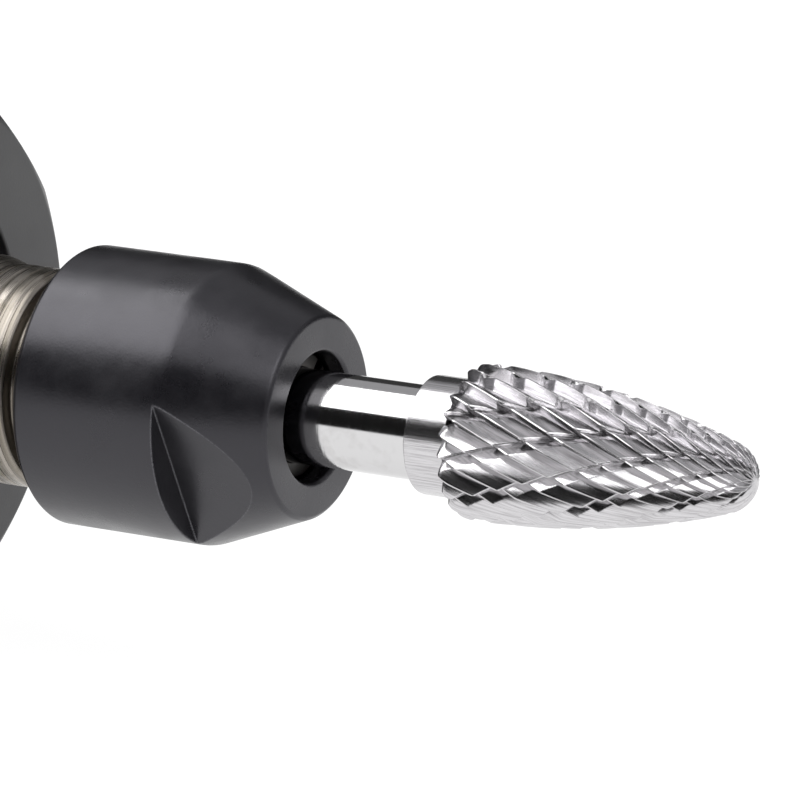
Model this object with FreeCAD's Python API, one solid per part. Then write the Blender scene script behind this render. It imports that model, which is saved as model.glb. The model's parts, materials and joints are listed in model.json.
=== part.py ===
"""Straight air die grinder with a lever throttle, a 6 mm collet and a carbide burr.

One solid per sub-part, in millimetres.  The X axis is the spindle axis and +X points
towards the burr, +Z is up, and the origin is the centre of the air inlet's mouth.
"""
import FreeCAD, Part
import math
import os

# ---- Stations along the spindle axis, counted from the inlet's mouth ----
HEX_END = 9.9                # inlet hexagon meets the housing's rear boss
BOSS_END = 29.5
BODY_START = 34.0            # step where the full-diameter housing begins
PIVOT_X = 39.0               # throttle lever's pin
VALVE_X = 51.0               # throttle valve's vertical bore
REGULATOR_X = 58.5
MOTOR_START = 66.0           # floor of the motor's bore
REAR_PLATE_START = 66.5
LINER_START = 74.0
LINER_END = 105.0
FRONT_BEARING_START = 109.0
FRONT_PLATE_END = 117.0
THREAD_START = 114.5         # housing's thread for the front cap
BODY_END = 124.0
CAP_END = 138.0              # front cap's rim
WRENCH_START = 138.0         # spindle's wrench section, just outside the cap's rim
WRENCH_END = 141.0
COLLAR_START = 144.9
COLLAR_END = 149.0
NUT_START = 150.8
NUT_CONE_START = 161.5
NUT_END = 168.0              # nut's front face
SHANK_START = 131.0
HEAD_NECK_START = 175.8      # end of the steel shank, start of the carbide
HEAD_START = 179.0
HEAD_ARC_START = 180.2
HEAD_END = 198.5
SPINDLE_START = FRONT_PLATE_END
COLLET_START = 147.5
COLLET_TAPER_START = 157.0
COLLET_TAPER_END = 163.2
COLLET_END = 166.5
SNAP_RING_X = 163.95
FELT_GROOVE = (121.5, 125.5)
LATCH_X = 86.0

# ---- Radii and other main sizes ----
HOUSING_R = 19.0
MOTOR_R = 16.0
INSERT_R = 15.9              # end plates and liner, a slip fit in the motor's bore
BOSS_R = 11.0
INLET_THREAD_R = 5.72        # minor radius of a G 1/4 thread
INLET_THREAD_LENGTH = 12.0
INLET_HEX = 22.0
INLET_SHANK_R = 8.0
CAP_R = 18.0
CAP_RECESS_R = 11.9
CAP_THREAD_R = 17.15
CAP_BORE_R = 8.6             # clear of the spindle's shoulder
FELT_GROOVE_R = 11.5
CAP_RIM_R = 17.2             # the rim's outer edge is chamfered down to this radius
CAP_RIM_DEPTH = 0.46
CAP_FLAT = 17.36             # twelve wrench flats round the cap's rim
CAP_FLAT_COUNT = 12
CAP_FLAT_ANGLE = 12.8
CAP_FLAT_START = 131.0
GRIP_R = 21.5
GRIP_FLAT = 20.0
GRIP_END = 118.0
SHANK_R = 3.0
COLLET_BORE_R = 3.02
NUT_R = 9.0
NUT_FACE_R = 6.45
NUT_HOLE_R = 4.17
NUT_FLAT = 6.95
NUT_FLAT_ANGLE = 208.0
COLLET_TAIL_R = 4.3
COLLET_HEAD_R = 5.5
SPINDLE_SHOULDER_R = 8.0
SPINDLE_NECK_R = 7.5
SPINDLE_THREAD_R = 6.42
SPINDLE_RELIEF_R = 6.1       # thread's root, also the undercut beside the collar
SPINDLE_WRENCH_R = 8.2
SPINDLE_WRENCH_FLAT = 7.0
COLLAR_R = 7.1
SHAFT_R = 5.0                # rotor's front journal
SHAFT_TAIL_R = 3.0
ROTOR_R = 11.5
BORE_R = 13.0
BORE_OFFSET = 1.3            # the liner's bore lies this far below the rotor's axis
VANE_COUNT = 5
VANE_ROOT = 5.5              # floor of a vane's slot, from the axis
VANE_HALF = 1.0
DOWEL_R = 1.25
DOWEL_DISTANCE = 13.9
DOWEL_ANGLE = 125.0
HEAD_R = 4.89
HEAD_NECK_R = 3.75
TIP_R = 2.3

# ---- Air passages ----
FEED_Z = 12.4
FEED_R = 2.0
EXHAUST_R = 1.6
EXHAUST_ANGLES = (200.0, 220.0, 320.0, 340.0)
EXHAUST_BACK_RADIUS = 13.8
EXHAUST_MOTOR_RADIUS = 16.0
EXHAUST_CHANNEL_END = 98.0
EXHAUST_SLOT_ANGLES = (230.0, 250.0, 270.0, 290.0, 310.0)
DEFLECTOR_SLOT_ANGLES = (215.0, 233.0, 251.0, 270.0, 289.0, 307.0, 325.0)

# ---- Throttle ----
PIVOT_Z = 22.5
LEVER_OPEN = 9.0             # angle from pressed to released, in degrees
LEVER_HALF_WIDTH = 7.0
LEVER_WALL = 1.5
LEVER_PLATE_Z = 27.0         # underside of the lever's top plate when pressed
LEVER_PIN_R = 2.0
CLIP_BORE_R = 1.52
LATCH_Z = 24.0
LATCH_PIN_R = 1.25
LATCH_HALF = 0.8             # half of the latch's thickness
CHAMBER_R = 6.5
CHAMBER_TOP = 6.0
SEAT_Z = 4.0
VALVE_STEM_R = 1.6
VALVE_TOP = 3.0              # upper face of the valve's disc
PLUNGER_R = 2.0
PLUNGER_LOW = 9.0
BUSHING_LOW = 14.2
BUSHING_SHOULDER = 18.2
BUSHING_R = 4.5
PLUNGER_ORING_Z = 16.8
VALVE_CAP_LOW = -17.4
VALVE_CAP_TOP = -12.0
REGULATOR_R = 3.0
REGULATOR_HEAD_R = 5.5
REGULATOR_HEAD_START = -14.4
REGULATOR_HEAD_END = -17.4
REGULATOR_ORING_Y = -12.0
SET_SCREW_Y = -8.0
SET_SCREW_R = 1.5
SET_SCREW_LOW = 15.5         # shoulder under the set screw's head

# ---- Inlet and silencer ----
INLET_BORE_R = 4.0
SCREEN_R = 4.95
SCREEN_HOLE_R = 0.62
INLET_SHANK_END = 29.8
INLET_ORING_X = 27.0
DEFLECTOR_START = 10.05
DEFLECTOR_END = 33.85
DEFLECTOR_R = 18.8
DEFLECTOR_INNER_R = 17.2
DEFLECTOR_SLOT = (15.5, 27.0)
REAR_GROOVE = (30.9, 33.1, 15.9)
SILENCER = (13.5, 29.4)

# ---- Bearings: start, bore radius, inner land, outer land, outer radius, width, pitch, ball ----
FRONT_BEARING = (FRONT_BEARING_START, 5.0, 7.3, 10.7, 13.0, 8.0, 9.0, 2.38)
REAR_BEARING = (REAR_PLATE_START, 3.0, 4.95, 7.55, 9.5, 6.0, 6.25, 1.75)
BALLS = 7

X_AXIS = FreeCAD.Vector(1, 0, 0)
Y_AXIS = FreeCAD.Vector(0, 1, 0)
Z_AXIS = FreeCAD.Vector(0, 0, 1)
ORIGIN = FreeCAD.Vector(0, 0, 0)


# ---- Helpers ----
def rod(start, end, radius, y=0.0, z=0.0):
    """Cylinder along X."""
    return Part.makeCylinder(radius, end - start, FreeCAD.Vector(start, y, z), X_AXIS)


def post(low, high, radius, x, y=0.0):
    """Cylinder along Z."""
    return Part.makeCylinder(radius, high - low, FreeCAD.Vector(x, y, low), Z_AXIS)


def cross_rod(low, high, radius, x, z):
    """Cylinder along Y."""
    return Part.makeCylinder(radius, high - low, FreeCAD.Vector(x, low, z), Y_AXIS)


def tube(start, end, inner, outer):
    """Tube along X."""
    return rod(start, end, outer).cut(rod(start, end, inner))


def block(low, high):
    """Box from its lowest to its highest corner."""
    size = [b - a for a, b in zip(low, high)]
    return Part.makeBox(size[0], size[1], size[2], FreeCAD.Vector(*low))


def turned(points):
    """Solid turned about X from a closed profile of (x, radius) points."""
    corners = [FreeCAD.Vector(x, 0, r) for x, r in points]
    face = Part.Face(Part.makePolygon(corners + corners[:1]))
    return face.revolve(ORIGIN, X_AXIS, 360)


def turned_post(points, x):
    """Solid turned about the vertical line at x from a closed profile of (radius, z) points."""
    corners = [FreeCAD.Vector(x + r, 0, z) for r, z in points]
    face = Part.Face(Part.makePolygon(corners + corners[:1]))
    return face.revolve(FreeCAD.Vector(x, 0, 0), Z_AXIS, 360)


def ring(x, major, minor):
    """O-ring about the X axis."""
    return Part.makeTorus(major, minor, FreeCAD.Vector(x, 0, 0), X_AXIS)


def at_angle(shape, angle):
    """The shape turned about X, so that what lay along +Y lies at this angle."""
    copy = shape.copy()
    copy.rotate(ORIGIN, X_AXIS, angle)
    return copy


def around(shape, angles):
    """One copy of the shape at each angle about X, as a single shape."""
    copies = [at_angle(shape, angle) for angle in angles]
    return copies[0].fuse(copies[1:]) if len(copies) > 1 else copies[0]


def spaced(count):
    """Evenly spaced angles round the axis."""
    return [360.0 * i / count for i in range(count)]


def flat_cut(distance, angle, start, end, reach=30.0):
    """Block that leaves a flat at this distance from the axis."""
    return at_angle(block((start, distance, -reach), (end, reach, reach)), angle)


def hexagon(across, start, end):
    """Hexagonal bar along X with two flats facing up and down."""
    corner = across / math.sqrt(3.0)
    points = [FreeCAD.Vector(start, corner * math.cos(math.radians(a)), corner * math.sin(math.radians(a)))
              for a in spaced(6)]
    return Part.Face(Part.makePolygon(points + points[:1])).extrude(FreeCAD.Vector(end - start, 0, 0))


def coil(radius, wire, pitch, height):
    """Round-wire spring along Z from the origin."""
    path = Part.Wire(Part.makeHelix(pitch, height, radius).Edges)
    start = path.Edges[0]
    circle = Part.Circle(start.valueAt(start.FirstParameter), start.tangentAt(start.FirstParameter), wire)
    return path.makePipeShell([Part.Wire(circle.toShape())], True, True)


def rounded_bar(start, end, low, high, half_width, radius):
    """Bar along X whose two upper edges are rounded."""
    inside = half_width - radius
    shape = block((start, -half_width, low), (end, half_width, high - radius))
    middle = block((start, -inside, low), (end, inside, high))
    edges = [rod(start, end, radius, y=y, z=high - radius) for y in (-inside, inside)]
    return shape.fuse([middle] + edges).removeSplitter()


def exhaust_channels(start, end, distance):
    return around(rod(start, end, EXHAUST_R, y=distance), EXHAUST_ANGLES)


def opened(shape):
    """A lever part as it lies when the lever is released."""
    copy = shape.copy()
    copy.rotate(FreeCAD.Vector(PIVOT_X, 0, PIVOT_Z), Y_AXIS, -LEVER_OPEN)
    return copy


# ---- Cutting tool ----
def burr_shank():
    chamfer = 0.4
    return turned([(SHANK_START, 0), (SHANK_START, SHANK_R - chamfer), (SHANK_START + chamfer, SHANK_R),
                   (HEAD_NECK_START, SHANK_R), (HEAD_NECK_START, 0)])


def burr_head():
    """Carbide neck and tree-shaped head: a slanted shoulder, a long arc and a round tip."""
    tip_centre = HEAD_END - TIP_R
    run = tip_centre - HEAD_ARC_START
    step = HEAD_R - TIP_R
    arc_r = (run * run / step + HEAD_R + TIP_R) / 2.0
    centre_z = HEAD_R - arc_r

    def on_arc(angle):
        return FreeCAD.Vector(HEAD_ARC_START + arc_r * math.sin(angle), 0, centre_z + arc_r * math.cos(angle))

    joint = math.atan2(run, -centre_z)
    half = joint + (math.pi / 2.0 - joint) / 2.0
    tip_middle = FreeCAD.Vector(tip_centre + TIP_R * math.sin(half), 0, TIP_R * math.cos(half))
    tip = FreeCAD.Vector(HEAD_END, 0, 0)
    neck_cone = 0.45
    shoulder_run = 0.9
    shoulder_step = 0.12
    outline = [(HEAD_NECK_START, 0), (HEAD_NECK_START, SHANK_R), (HEAD_NECK_START + neck_cone, HEAD_NECK_R),
               (HEAD_START, HEAD_NECK_R), (HEAD_START + shoulder_run, HEAD_R - shoulder_step),
               (HEAD_ARC_START, HEAD_R)]
    corners = [FreeCAD.Vector(x, 0, r) for x, r in outline]
    edges = [Part.makeLine(a, b) for a, b in zip(corners, corners[1:])]
    edges.append(Part.Arc(on_arc(0.0), on_arc(joint / 2.0), on_arc(joint)).toShape())
    edges.append(Part.Arc(on_arc(joint), tip_middle, tip).toShape())
    edges.append(Part.makeLine(tip, corners[0]))
    return Part.Face(Part.Wire(edges)).revolve(ORIGIN, X_AXIS, 360)


# ---- Collet and its nut ----
def collet_nut():
    """Round nut: a cone with two wrench flats, an inner cone for the collet and a groove for its ring."""
    chamfer = 0.4
    face_chamfer = 0.2
    hole_chamfer = 0.1
    thread_r = SPINDLE_THREAD_R + 0.05
    thread_end = 162.0
    relief_end = 163.4
    relief_r = 6.75
    groove_end = 164.5
    groove_r = 6.0
    cone_start = 164.7
    cone_start_r = 5.35
    cone_end = 166.7
    flat_start = NUT_CONE_START - 0.25
    nut = turned([(NUT_START, thread_r), (NUT_START, NUT_R - chamfer), (NUT_START + chamfer, NUT_R),
                  (NUT_CONE_START, NUT_R), (NUT_END - face_chamfer, NUT_FACE_R + 0.08),
                  (NUT_END, NUT_FACE_R - 0.15), (NUT_END, NUT_HOLE_R + hole_chamfer),
                  (NUT_END - hole_chamfer, NUT_HOLE_R), (cone_end, NUT_HOLE_R), (cone_start, cone_start_r),
                  (groove_end, groove_r), (relief_end, groove_r), (relief_end, relief_r),
                  (thread_end, relief_r), (thread_end, thread_r)])
    for side in (0.0, 180.0):
        nut = nut.cut(flat_cut(NUT_FLAT, NUT_FLAT_ANGLE + side, flat_start, NUT_END + 1))
    return nut


def collet():
    """Split collet with a straight tail, a closing taper and a front cone for the nut."""
    chamfer = 0.2
    groove_start, groove_end = 163.6, 164.3
    groove_r = 4.75
    nose_r = 5.3
    nose_start = 164.6
    face_r = 4.05
    slot_start = 152.0
    slot_half = 0.4
    body = turned([(COLLET_START, COLLET_BORE_R), (COLLET_START, COLLET_TAIL_R - chamfer),
                   (COLLET_START + chamfer, COLLET_TAIL_R), (COLLET_TAPER_START, COLLET_TAIL_R),
                   (COLLET_TAPER_END, COLLET_HEAD_R), (groove_start, COLLET_HEAD_R), (groove_start, groove_r),
                   (groove_end, groove_r), (groove_end, nose_r), (nose_start, nose_r), (COLLET_END, face_r),
                   (COLLET_END, COLLET_BORE_R)])
    slot = block((slot_start, -10, -slot_half), (COLLET_END + 1, 10, slot_half))
    return body.cut(around(slot, (45.0, 135.0)))


def collet_snap_ring():
    """Round-wire ring that lets the nut pull the collet out of its taper."""
    major, wire = 5.15, 0.32
    half_gap = 1.2
    gap = block((SNAP_RING_X - 1, 0, -half_gap), (SNAP_RING_X + 1, 10, half_gap))
    return ring(SNAP_RING_X, major, wire).cut(gap)


def collet_body():
    """Hollow spindle nose: bearing shoulder, neck, wrench section, collar and nut thread."""
    chamfer = 0.3
    collar_chamfer = 0.25
    shoulder_end = 129.0
    thread_end = 163.0
    taper_slack = 0.05
    socket_floor = 146.0
    relief_r = 3.2
    relief_start, relief_tip = 130.0, 128.2
    shaft_end = 125.0
    outside = [(SPINDLE_START, SHAFT_R), (SPINDLE_START, SPINDLE_SHOULDER_R - chamfer),
               (SPINDLE_START + chamfer, SPINDLE_SHOULDER_R), (shoulder_end, SPINDLE_SHOULDER_R),
               (shoulder_end + 0.5, SPINDLE_NECK_R), (WRENCH_START, SPINDLE_NECK_R),
               (WRENCH_START, SPINDLE_WRENCH_R - chamfer), (WRENCH_START + chamfer, SPINDLE_WRENCH_R),
               (WRENCH_END - chamfer, SPINDLE_WRENCH_R), (WRENCH_END, SPINDLE_WRENCH_R - chamfer),
               (WRENCH_END, SPINDLE_NECK_R), (COLLAR_START - 1.4, SPINDLE_NECK_R), (COLLAR_START, COLLAR_R),
               (COLLAR_END - collar_chamfer, COLLAR_R), (COLLAR_END, COLLAR_R - collar_chamfer),
               (COLLAR_END, SPINDLE_RELIEF_R), (NUT_START - chamfer, SPINDLE_RELIEF_R),
               (NUT_START, SPINDLE_THREAD_R), (thread_end - chamfer, SPINDLE_THREAD_R),
               (thread_end, SPINDLE_RELIEF_R)]
    inside = [(thread_end, COLLET_HEAD_R + 0.03), (COLLET_TAPER_START - 0.1, COLLET_TAIL_R + taper_slack),
              (socket_floor + 0.5, COLLET_TAIL_R + taper_slack), (socket_floor, relief_r),
              (relief_start, relief_r), (relief_tip, 0), (shaft_end, 0), (shaft_end, SHAFT_R)]
    body = turned(outside + inside)
    for angle in (90.0, 270.0):
        body = body.cut(flat_cut(SPINDLE_WRENCH_FLAT, angle, WRENCH_START - 0.01, WRENCH_END))
    return body


# ---- Air motor ----
def rotor():
    gap = 0.05
    chamfer = 0.3
    tail, nose = 66.9, 124.8
    start, end = LINER_START + gap, LINER_END - gap
    shape = turned([(tail, 0), (tail, SHAFT_TAIL_R - chamfer), (tail + chamfer, SHAFT_TAIL_R),
                    (start, SHAFT_TAIL_R), (start, ROTOR_R), (end, ROTOR_R), (end, SHAFT_R),
                    (nose - chamfer, SHAFT_R), (nose, SHAFT_R - chamfer), (nose, 0)])
    slot = block((start - 1, VANE_ROOT, -VANE_HALF), (end + 1, BORE_R, VANE_HALF))
    return shape.cut(around(slot, spaced(VANE_COUNT)))


def rotor_vanes():
    end_gap = 0.15
    slack = 0.05
    vane = block((LINER_START + end_gap, VANE_ROOT + 0.1, slack - VANE_HALF),
                 (LINER_END - end_gap, ROTOR_R - 0.1, VANE_HALF - slack))
    return Part.makeCompound([at_angle(vane, angle) for angle in spaced(VANE_COUNT)])


def motor_cylinder():
    """Liner with an eccentric bore, exhaust slots at its wide side and grooves that lead back."""
    gallery_start, gallery_end = 84.0, 94.0
    gallery_floor = 15.1
    gallery_top = -4.0
    slot_half = 1.0
    shape = rod(LINER_START, LINER_END, INSERT_R).cut(rod(LINER_START, LINER_END, BORE_R, z=-BORE_OFFSET))
    shape = shape.cut(exhaust_channels(LINER_START - 1, EXHAUST_CHANNEL_END, EXHAUST_MOTOR_RADIUS))
    gallery = tube(gallery_start, gallery_end, gallery_floor, HOUSING_R + 1)
    below = block((gallery_start - 1, -HOUSING_R, -HOUSING_R - 1), (gallery_end + 1, HOUSING_R, gallery_top))
    slot = block((gallery_start + 1, 11.0, -slot_half), (gallery_end - 1, HOUSING_R + 1, slot_half))
    shape = shape.cut(gallery.common(below))
    shape = shape.cut(around(slot, EXHAUST_SLOT_ANGLES))
    return shape.cut(dowel_pin(0.0))


def dowel_pin(shorten):
    """The dowel that lines the two end plates up with the liner."""
    start, end = 68.0 + shorten, 107.5 - shorten
    angle = math.radians(DOWEL_ANGLE)
    return rod(start, end, DOWEL_R, y=DOWEL_DISTANCE * math.cos(angle), z=DOWEL_DISTANCE * math.sin(angle))


def cylinder_dowel():
    return dowel_pin(0.5)


def rear_end_plate():
    """Holds the rear bearing and passes the feed air through a curved port."""
    seat_r = REAR_BEARING[4]
    seat_end = REAR_PLATE_START + REAR_BEARING[5]
    shaft_hole_r = SHAFT_TAIL_R + 0.4
    port_inner, port_outer = 10.2, 12.6
    port_start = LINER_START - 1
    shape = turned([(REAR_PLATE_START, seat_r), (REAR_PLATE_START, INSERT_R), (LINER_START, INSERT_R),
                    (LINER_START, shaft_hole_r), (seat_end, shaft_hole_r), (seat_end, seat_r)])
    shape = shape.cut(rod(REAR_PLATE_START - 1, LINER_START + 1, FEED_R, z=FEED_Z))
    port = tube(port_start, LINER_START + 1, port_inner, port_outer)
    quarter = block((port_start - 1, 0, 5.0), (LINER_START + 2, 12.0, 15.0))
    shape = shape.cut(port.common(quarter))
    shape = shape.cut(exhaust_channels(REAR_PLATE_START - 1, LINER_START + 1, EXHAUST_MOTOR_RADIUS))
    return shape.cut(dowel_pin(0.0))


def front_end_plate():
    seat_r = FRONT_BEARING[4]
    shaft_hole_r = SHAFT_R + 0.3
    shape = turned([(LINER_END, shaft_hole_r), (LINER_END, INSERT_R), (FRONT_PLATE_END, INSERT_R),
                    (FRONT_PLATE_END, seat_r), (FRONT_BEARING_START, seat_r),
                    (FRONT_BEARING_START, shaft_hole_r)])
    return shape.cut(dowel_pin(0.0))


def motor_gasket():
    inner = 9.6
    shape = tube(MOTOR_START, REAR_PLATE_START, inner, INSERT_R)
    shape = shape.cut(exhaust_channels(MOTOR_START - 1, LINER_START, EXHAUST_MOTOR_RADIUS))
    return shape.cut(rod(MOTOR_START - 1, LINER_START, FEED_R, z=FEED_Z))


def bearing_ring(bearing, outer):
    """Inner or outer ring with its ball groove."""
    groove_slack = 0.05
    start, bore, inner_land, outer_land, outside, width, pitch, ball = bearing
    low, high = (outer_land, outside) if outer else (bore, inner_land)
    return tube(start, start + width, low, high).cut(ring(start + width / 2.0, pitch, ball + groove_slack))


def bearing_balls(bearing):
    start, width, pitch, ball = bearing[0], bearing[5], bearing[6], bearing[7]
    one = Part.makeSphere(ball, FreeCAD.Vector(start + width / 2.0, pitch, 0))
    return Part.makeCompound([at_angle(one, angle) for angle in spaced(BALLS)])


def bearing_cage(bearing):
    start, width, pitch, ball = bearing[0], bearing[5], bearing[6], bearing[7]
    pocket_slack = 0.08
    half_width = ball + 0.5
    half_wall = 0.3 * ball
    middle = start + width / 2.0
    pocket = Part.makeSphere(ball + pocket_slack, FreeCAD.Vector(middle, pitch, 0))
    shape = tube(middle - half_width, middle + half_width, pitch - half_wall, pitch + half_wall)
    return shape.cut(around(pocket, spaced(BALLS)))


def wave_washer():
    """Thin waved spring that preloads the front bearing's outer ring."""
    gap = 0.1
    height = 1.8
    start = FRONT_PLATE_END + gap
    return tube(start, start + height, FRONT_BEARING[3] + 0.2, FRONT_BEARING[4] - gap)


# ---- Front cap ----
def front_cap():
    """Threaded nose cap with a twelve-sided rim, a felt groove and an open recess round the spindle."""
    chamfer = 0.4
    thread_chamfer = 0.5
    rim_chamfer = 0.1
    recess_floor = 127.0
    groove_start, groove_end = FELT_GROOVE
    seat_floor = 119.0
    seat_r = FRONT_BEARING[4]
    outside = [(FRONT_PLATE_END, seat_r), (FRONT_PLATE_END, CAP_THREAD_R - thread_chamfer),
               (FRONT_PLATE_END + thread_chamfer, CAP_THREAD_R), (BODY_END, CAP_THREAD_R),
               (BODY_END, CAP_R - chamfer), (BODY_END + chamfer, CAP_R),
               (CAP_END - CAP_RIM_DEPTH, CAP_R), (CAP_END, CAP_RIM_R)]
    inside = [(CAP_END, CAP_RECESS_R + rim_chamfer), (CAP_END - rim_chamfer, CAP_RECESS_R),
              (recess_floor, CAP_RECESS_R), (recess_floor, CAP_BORE_R), (groove_end, CAP_BORE_R),
              (groove_end, FELT_GROOVE_R), (groove_start, FELT_GROOVE_R), (groove_start, CAP_BORE_R),
              (seat_floor, CAP_BORE_R), (seat_floor, seat_r)]
    cap = turned(outside + inside)
    for angle in spaced(CAP_FLAT_COUNT):
        cap = cap.cut(flat_cut(CAP_FLAT, CAP_FLAT_ANGLE + angle, CAP_FLAT_START, CAP_END + 1))
    return cap


def dust_seal():
    slack = 0.1
    start, end = FELT_GROOVE
    return tube(start + slack, end - slack, SPINDLE_SHOULDER_R + slack, FELT_GROOVE_R - slack)


# ---- Housing ----
def housing_outside():
    chamfer = 0.3
    edge = 0.8
    spigot_r = DEFLECTOR_INNER_R - 0.15
    groove_start, groove_end, groove_r = REAR_GROOVE
    shape = turned([(HEX_END, 0), (HEX_END, BOSS_R - chamfer), (HEX_END + chamfer, BOSS_R), (BOSS_END, BOSS_R),
                    (BOSS_END, spigot_r - chamfer), (BOSS_END + chamfer, spigot_r), (groove_start, spigot_r),
                    (groove_start, groove_r), (groove_end, groove_r), (groove_end, spigot_r),
                    (BODY_START, spigot_r), (BODY_START, HOUSING_R - edge), (BODY_START + edge, HOUSING_R),
                    (BODY_END - edge, HOUSING_R), (BODY_END, HOUSING_R - edge), (BODY_END, 0)])
    low = 12.0
    lug_half = 5.3
    lug_r = 4.0
    valve_boss_r = 8.0
    lug = block((PIVOT_X - lug_r, -lug_half, low), (PIVOT_X + lug_r, lug_half, PIVOT_Z))
    lug = lug.fuse(cross_rod(-lug_half, lug_half, lug_r, PIVOT_X, PIVOT_Z)).removeSplitter()
    boss = post(low, BUSHING_SHOULDER, valve_boss_r, VALVE_X)
    return shape.fuse([lug, boss]).removeSplitter()


def housing():
    """Body with the inlet, valve, feed, regulator, exhaust and motor bores."""
    spot_face_r = 9.0
    inlet_end = 30.0
    shape = housing_outside()
    shape = shape.cut(post(BUSHING_SHOULDER, 30.0, spot_face_r, VALVE_X))
    return shape.cut([
        rod(HEX_END, inlet_end, INLET_SHANK_R),
        rod(inlet_end, VALVE_X, 3.5),
        post(-HOUSING_R - 1, CHAMBER_TOP, CHAMBER_R, VALVE_X),
        post(CHAMBER_TOP, BUSHING_LOW, 4.0, VALVE_X),
        post(BUSHING_LOW, HOUSING_R, BUSHING_R, VALVE_X),
        rod(VALVE_X, MOTOR_START, FEED_R, z=FEED_Z),
        cross_rod(-25.0, 3.5, REGULATOR_R + 0.05, REGULATOR_X, FEED_Z),
        cross_rod(-25.0, REGULATOR_HEAD_START + 0.2, REGULATOR_HEAD_R + 0.5, REGULATOR_X, FEED_Z),
        post(SET_SCREW_LOW - 1, HOUSING_R, 0.8, REGULATOR_X, y=SET_SCREW_Y),
        post(SET_SCREW_LOW, HOUSING_R, SET_SCREW_R, REGULATOR_X, y=SET_SCREW_Y),
        cross_rod(-6.0, 6.0, LEVER_PIN_R, PIVOT_X, PIVOT_Z),
        exhaust_channels(BOSS_END - 1, MOTOR_START, EXHAUST_BACK_RADIUS),
        exhaust_channels(MOTOR_START, EXHAUST_CHANNEL_END, EXHAUST_MOTOR_RADIUS),
        rod(MOTOR_START, THREAD_START, MOTOR_R),
        rod(THREAD_START, BODY_END, CAP_THREAD_R + 0.05),
    ])


def grip_sleeve():
    """Rubber sleeve with six shallow flats; the flat underneath is what the tool lies on."""
    edge = 0.8
    start = MOTOR_START
    shape = turned([(start, HOUSING_R), (start, GRIP_R - edge), (start + edge, GRIP_R),
                    (GRIP_END - edge, GRIP_R), (GRIP_END, GRIP_R - edge), (GRIP_END, HOUSING_R)])
    for angle in spaced(6):
        shape = shape.cut(flat_cut(GRIP_FLAT, angle + 30.0, start - 1, GRIP_END + 1))
    return shape


# ---- Throttle lever and its safety latch ----
def throttle_lever():
    """Pressed-steel channel; its side walls carry the pivot and the latch pin."""
    def corner(x, z):
        return FreeCAD.Vector(x, -LEVER_HALF_WIDTH, z)

    top = LEVER_PLATE_Z + LEVER_WALL
    reach = 3.6
    diagonal = reach * math.sqrt(0.5)
    rear_r = 2.0
    rear_step = rear_r * (1.0 - math.sqrt(0.5))
    nose_r = 6.0
    nose_x = 113.0
    nose_step = nose_r * (1.0 - math.sqrt(0.5))
    belly = 21.5
    belly_start, belly_end = 46.0, 70.0
    lip_x, lip_z = 105.0, 22.5
    edges = [
        Part.Arc(corner(PIVOT_X, PIVOT_Z - reach), corner(PIVOT_X - diagonal, PIVOT_Z - diagonal),
                 corner(PIVOT_X - reach, PIVOT_Z)).toShape(),
        Part.makeLine(corner(PIVOT_X - reach, PIVOT_Z), corner(PIVOT_X - reach, top - rear_r)),
        Part.Arc(corner(PIVOT_X - reach, top - rear_r), corner(PIVOT_X - reach + rear_step, top - rear_step),
                 corner(PIVOT_X - reach + rear_r, top)).toShape(),
        Part.makeLine(corner(PIVOT_X - reach + rear_r, top), corner(nose_x - nose_r, top)),
        Part.Arc(corner(nose_x - nose_r, top), corner(nose_x - nose_step, top - nose_step),
                 corner(nose_x, top - nose_r)).toShape(),
        Part.makeLine(corner(nose_x, top - nose_r), corner(lip_x, lip_z)),
        Part.makeLine(corner(lip_x, lip_z), corner(belly_end, belly)),
        Part.makeLine(corner(belly_end, belly), corner(belly_start, belly)),
        Part.makeLine(corner(belly_start, belly), corner(PIVOT_X, PIVOT_Z - reach)),
    ]
    shape = Part.Face(Part.Wire(edges)).extrude(FreeCAD.Vector(0, 2 * LEVER_HALF_WIDTH, 0))
    shape = shape.common(rounded_bar(30.0, 120.0, 10.0, top, LEVER_HALF_WIDTH, 1.2))
    inner = LEVER_HALF_WIDTH - LEVER_WALL
    window_half = 3.5
    shape = shape.cut(block((30.0, -inner, 10.0), (nose_x - 2.0, inner, LEVER_PLATE_Z)))
    shape = shape.cut([
        cross_rod(-8.0, 8.0, LEVER_PIN_R + 0.06, PIVOT_X, PIVOT_Z),
        cross_rod(-8.0, 8.0, LATCH_PIN_R, LATCH_X, LATCH_Z),
        block((LATCH_X + 0.4, -window_half, 20.0), (LATCH_X + 13.5, window_half, 32.0)),
    ])
    return opened(shape)


def collar_cut(low, high, depth, reach, x, z):
    """Ring along Y that leaves a neck of this radius in a pin."""
    return cross_rod(low, high, reach, x, z).cut(cross_rod(low, high, depth, x, z))


def lever_pin():
    """Headed pin with a groove for the clip."""
    end = 8.3
    head_start = 7.15
    head_r = 2.9
    shape = cross_rod(-end, head_start, LEVER_PIN_R, PIVOT_X, PIVOT_Z)
    shape = shape.fuse(cross_rod(head_start, end, head_r, PIVOT_X, PIVOT_Z)).removeSplitter()
    return shape.cut(collar_cut(-7.9, -7.2, CLIP_BORE_R - 0.02, 4.0, PIVOT_X, PIVOT_Z))


def lever_pin_clip():
    """E-clip in the pin's groove."""
    outer = 3.4
    mouth_half = 1.3
    shape = collar_cut(-7.8, -7.3, CLIP_BORE_R, outer, PIVOT_X, PIVOT_Z)
    mouth = block((PIVOT_X - mouth_half, -8.0, PIVOT_Z - outer - 1), (PIVOT_X + mouth_half, -7.0, PIVOT_Z))
    return shape.cut(mouth)


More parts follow.
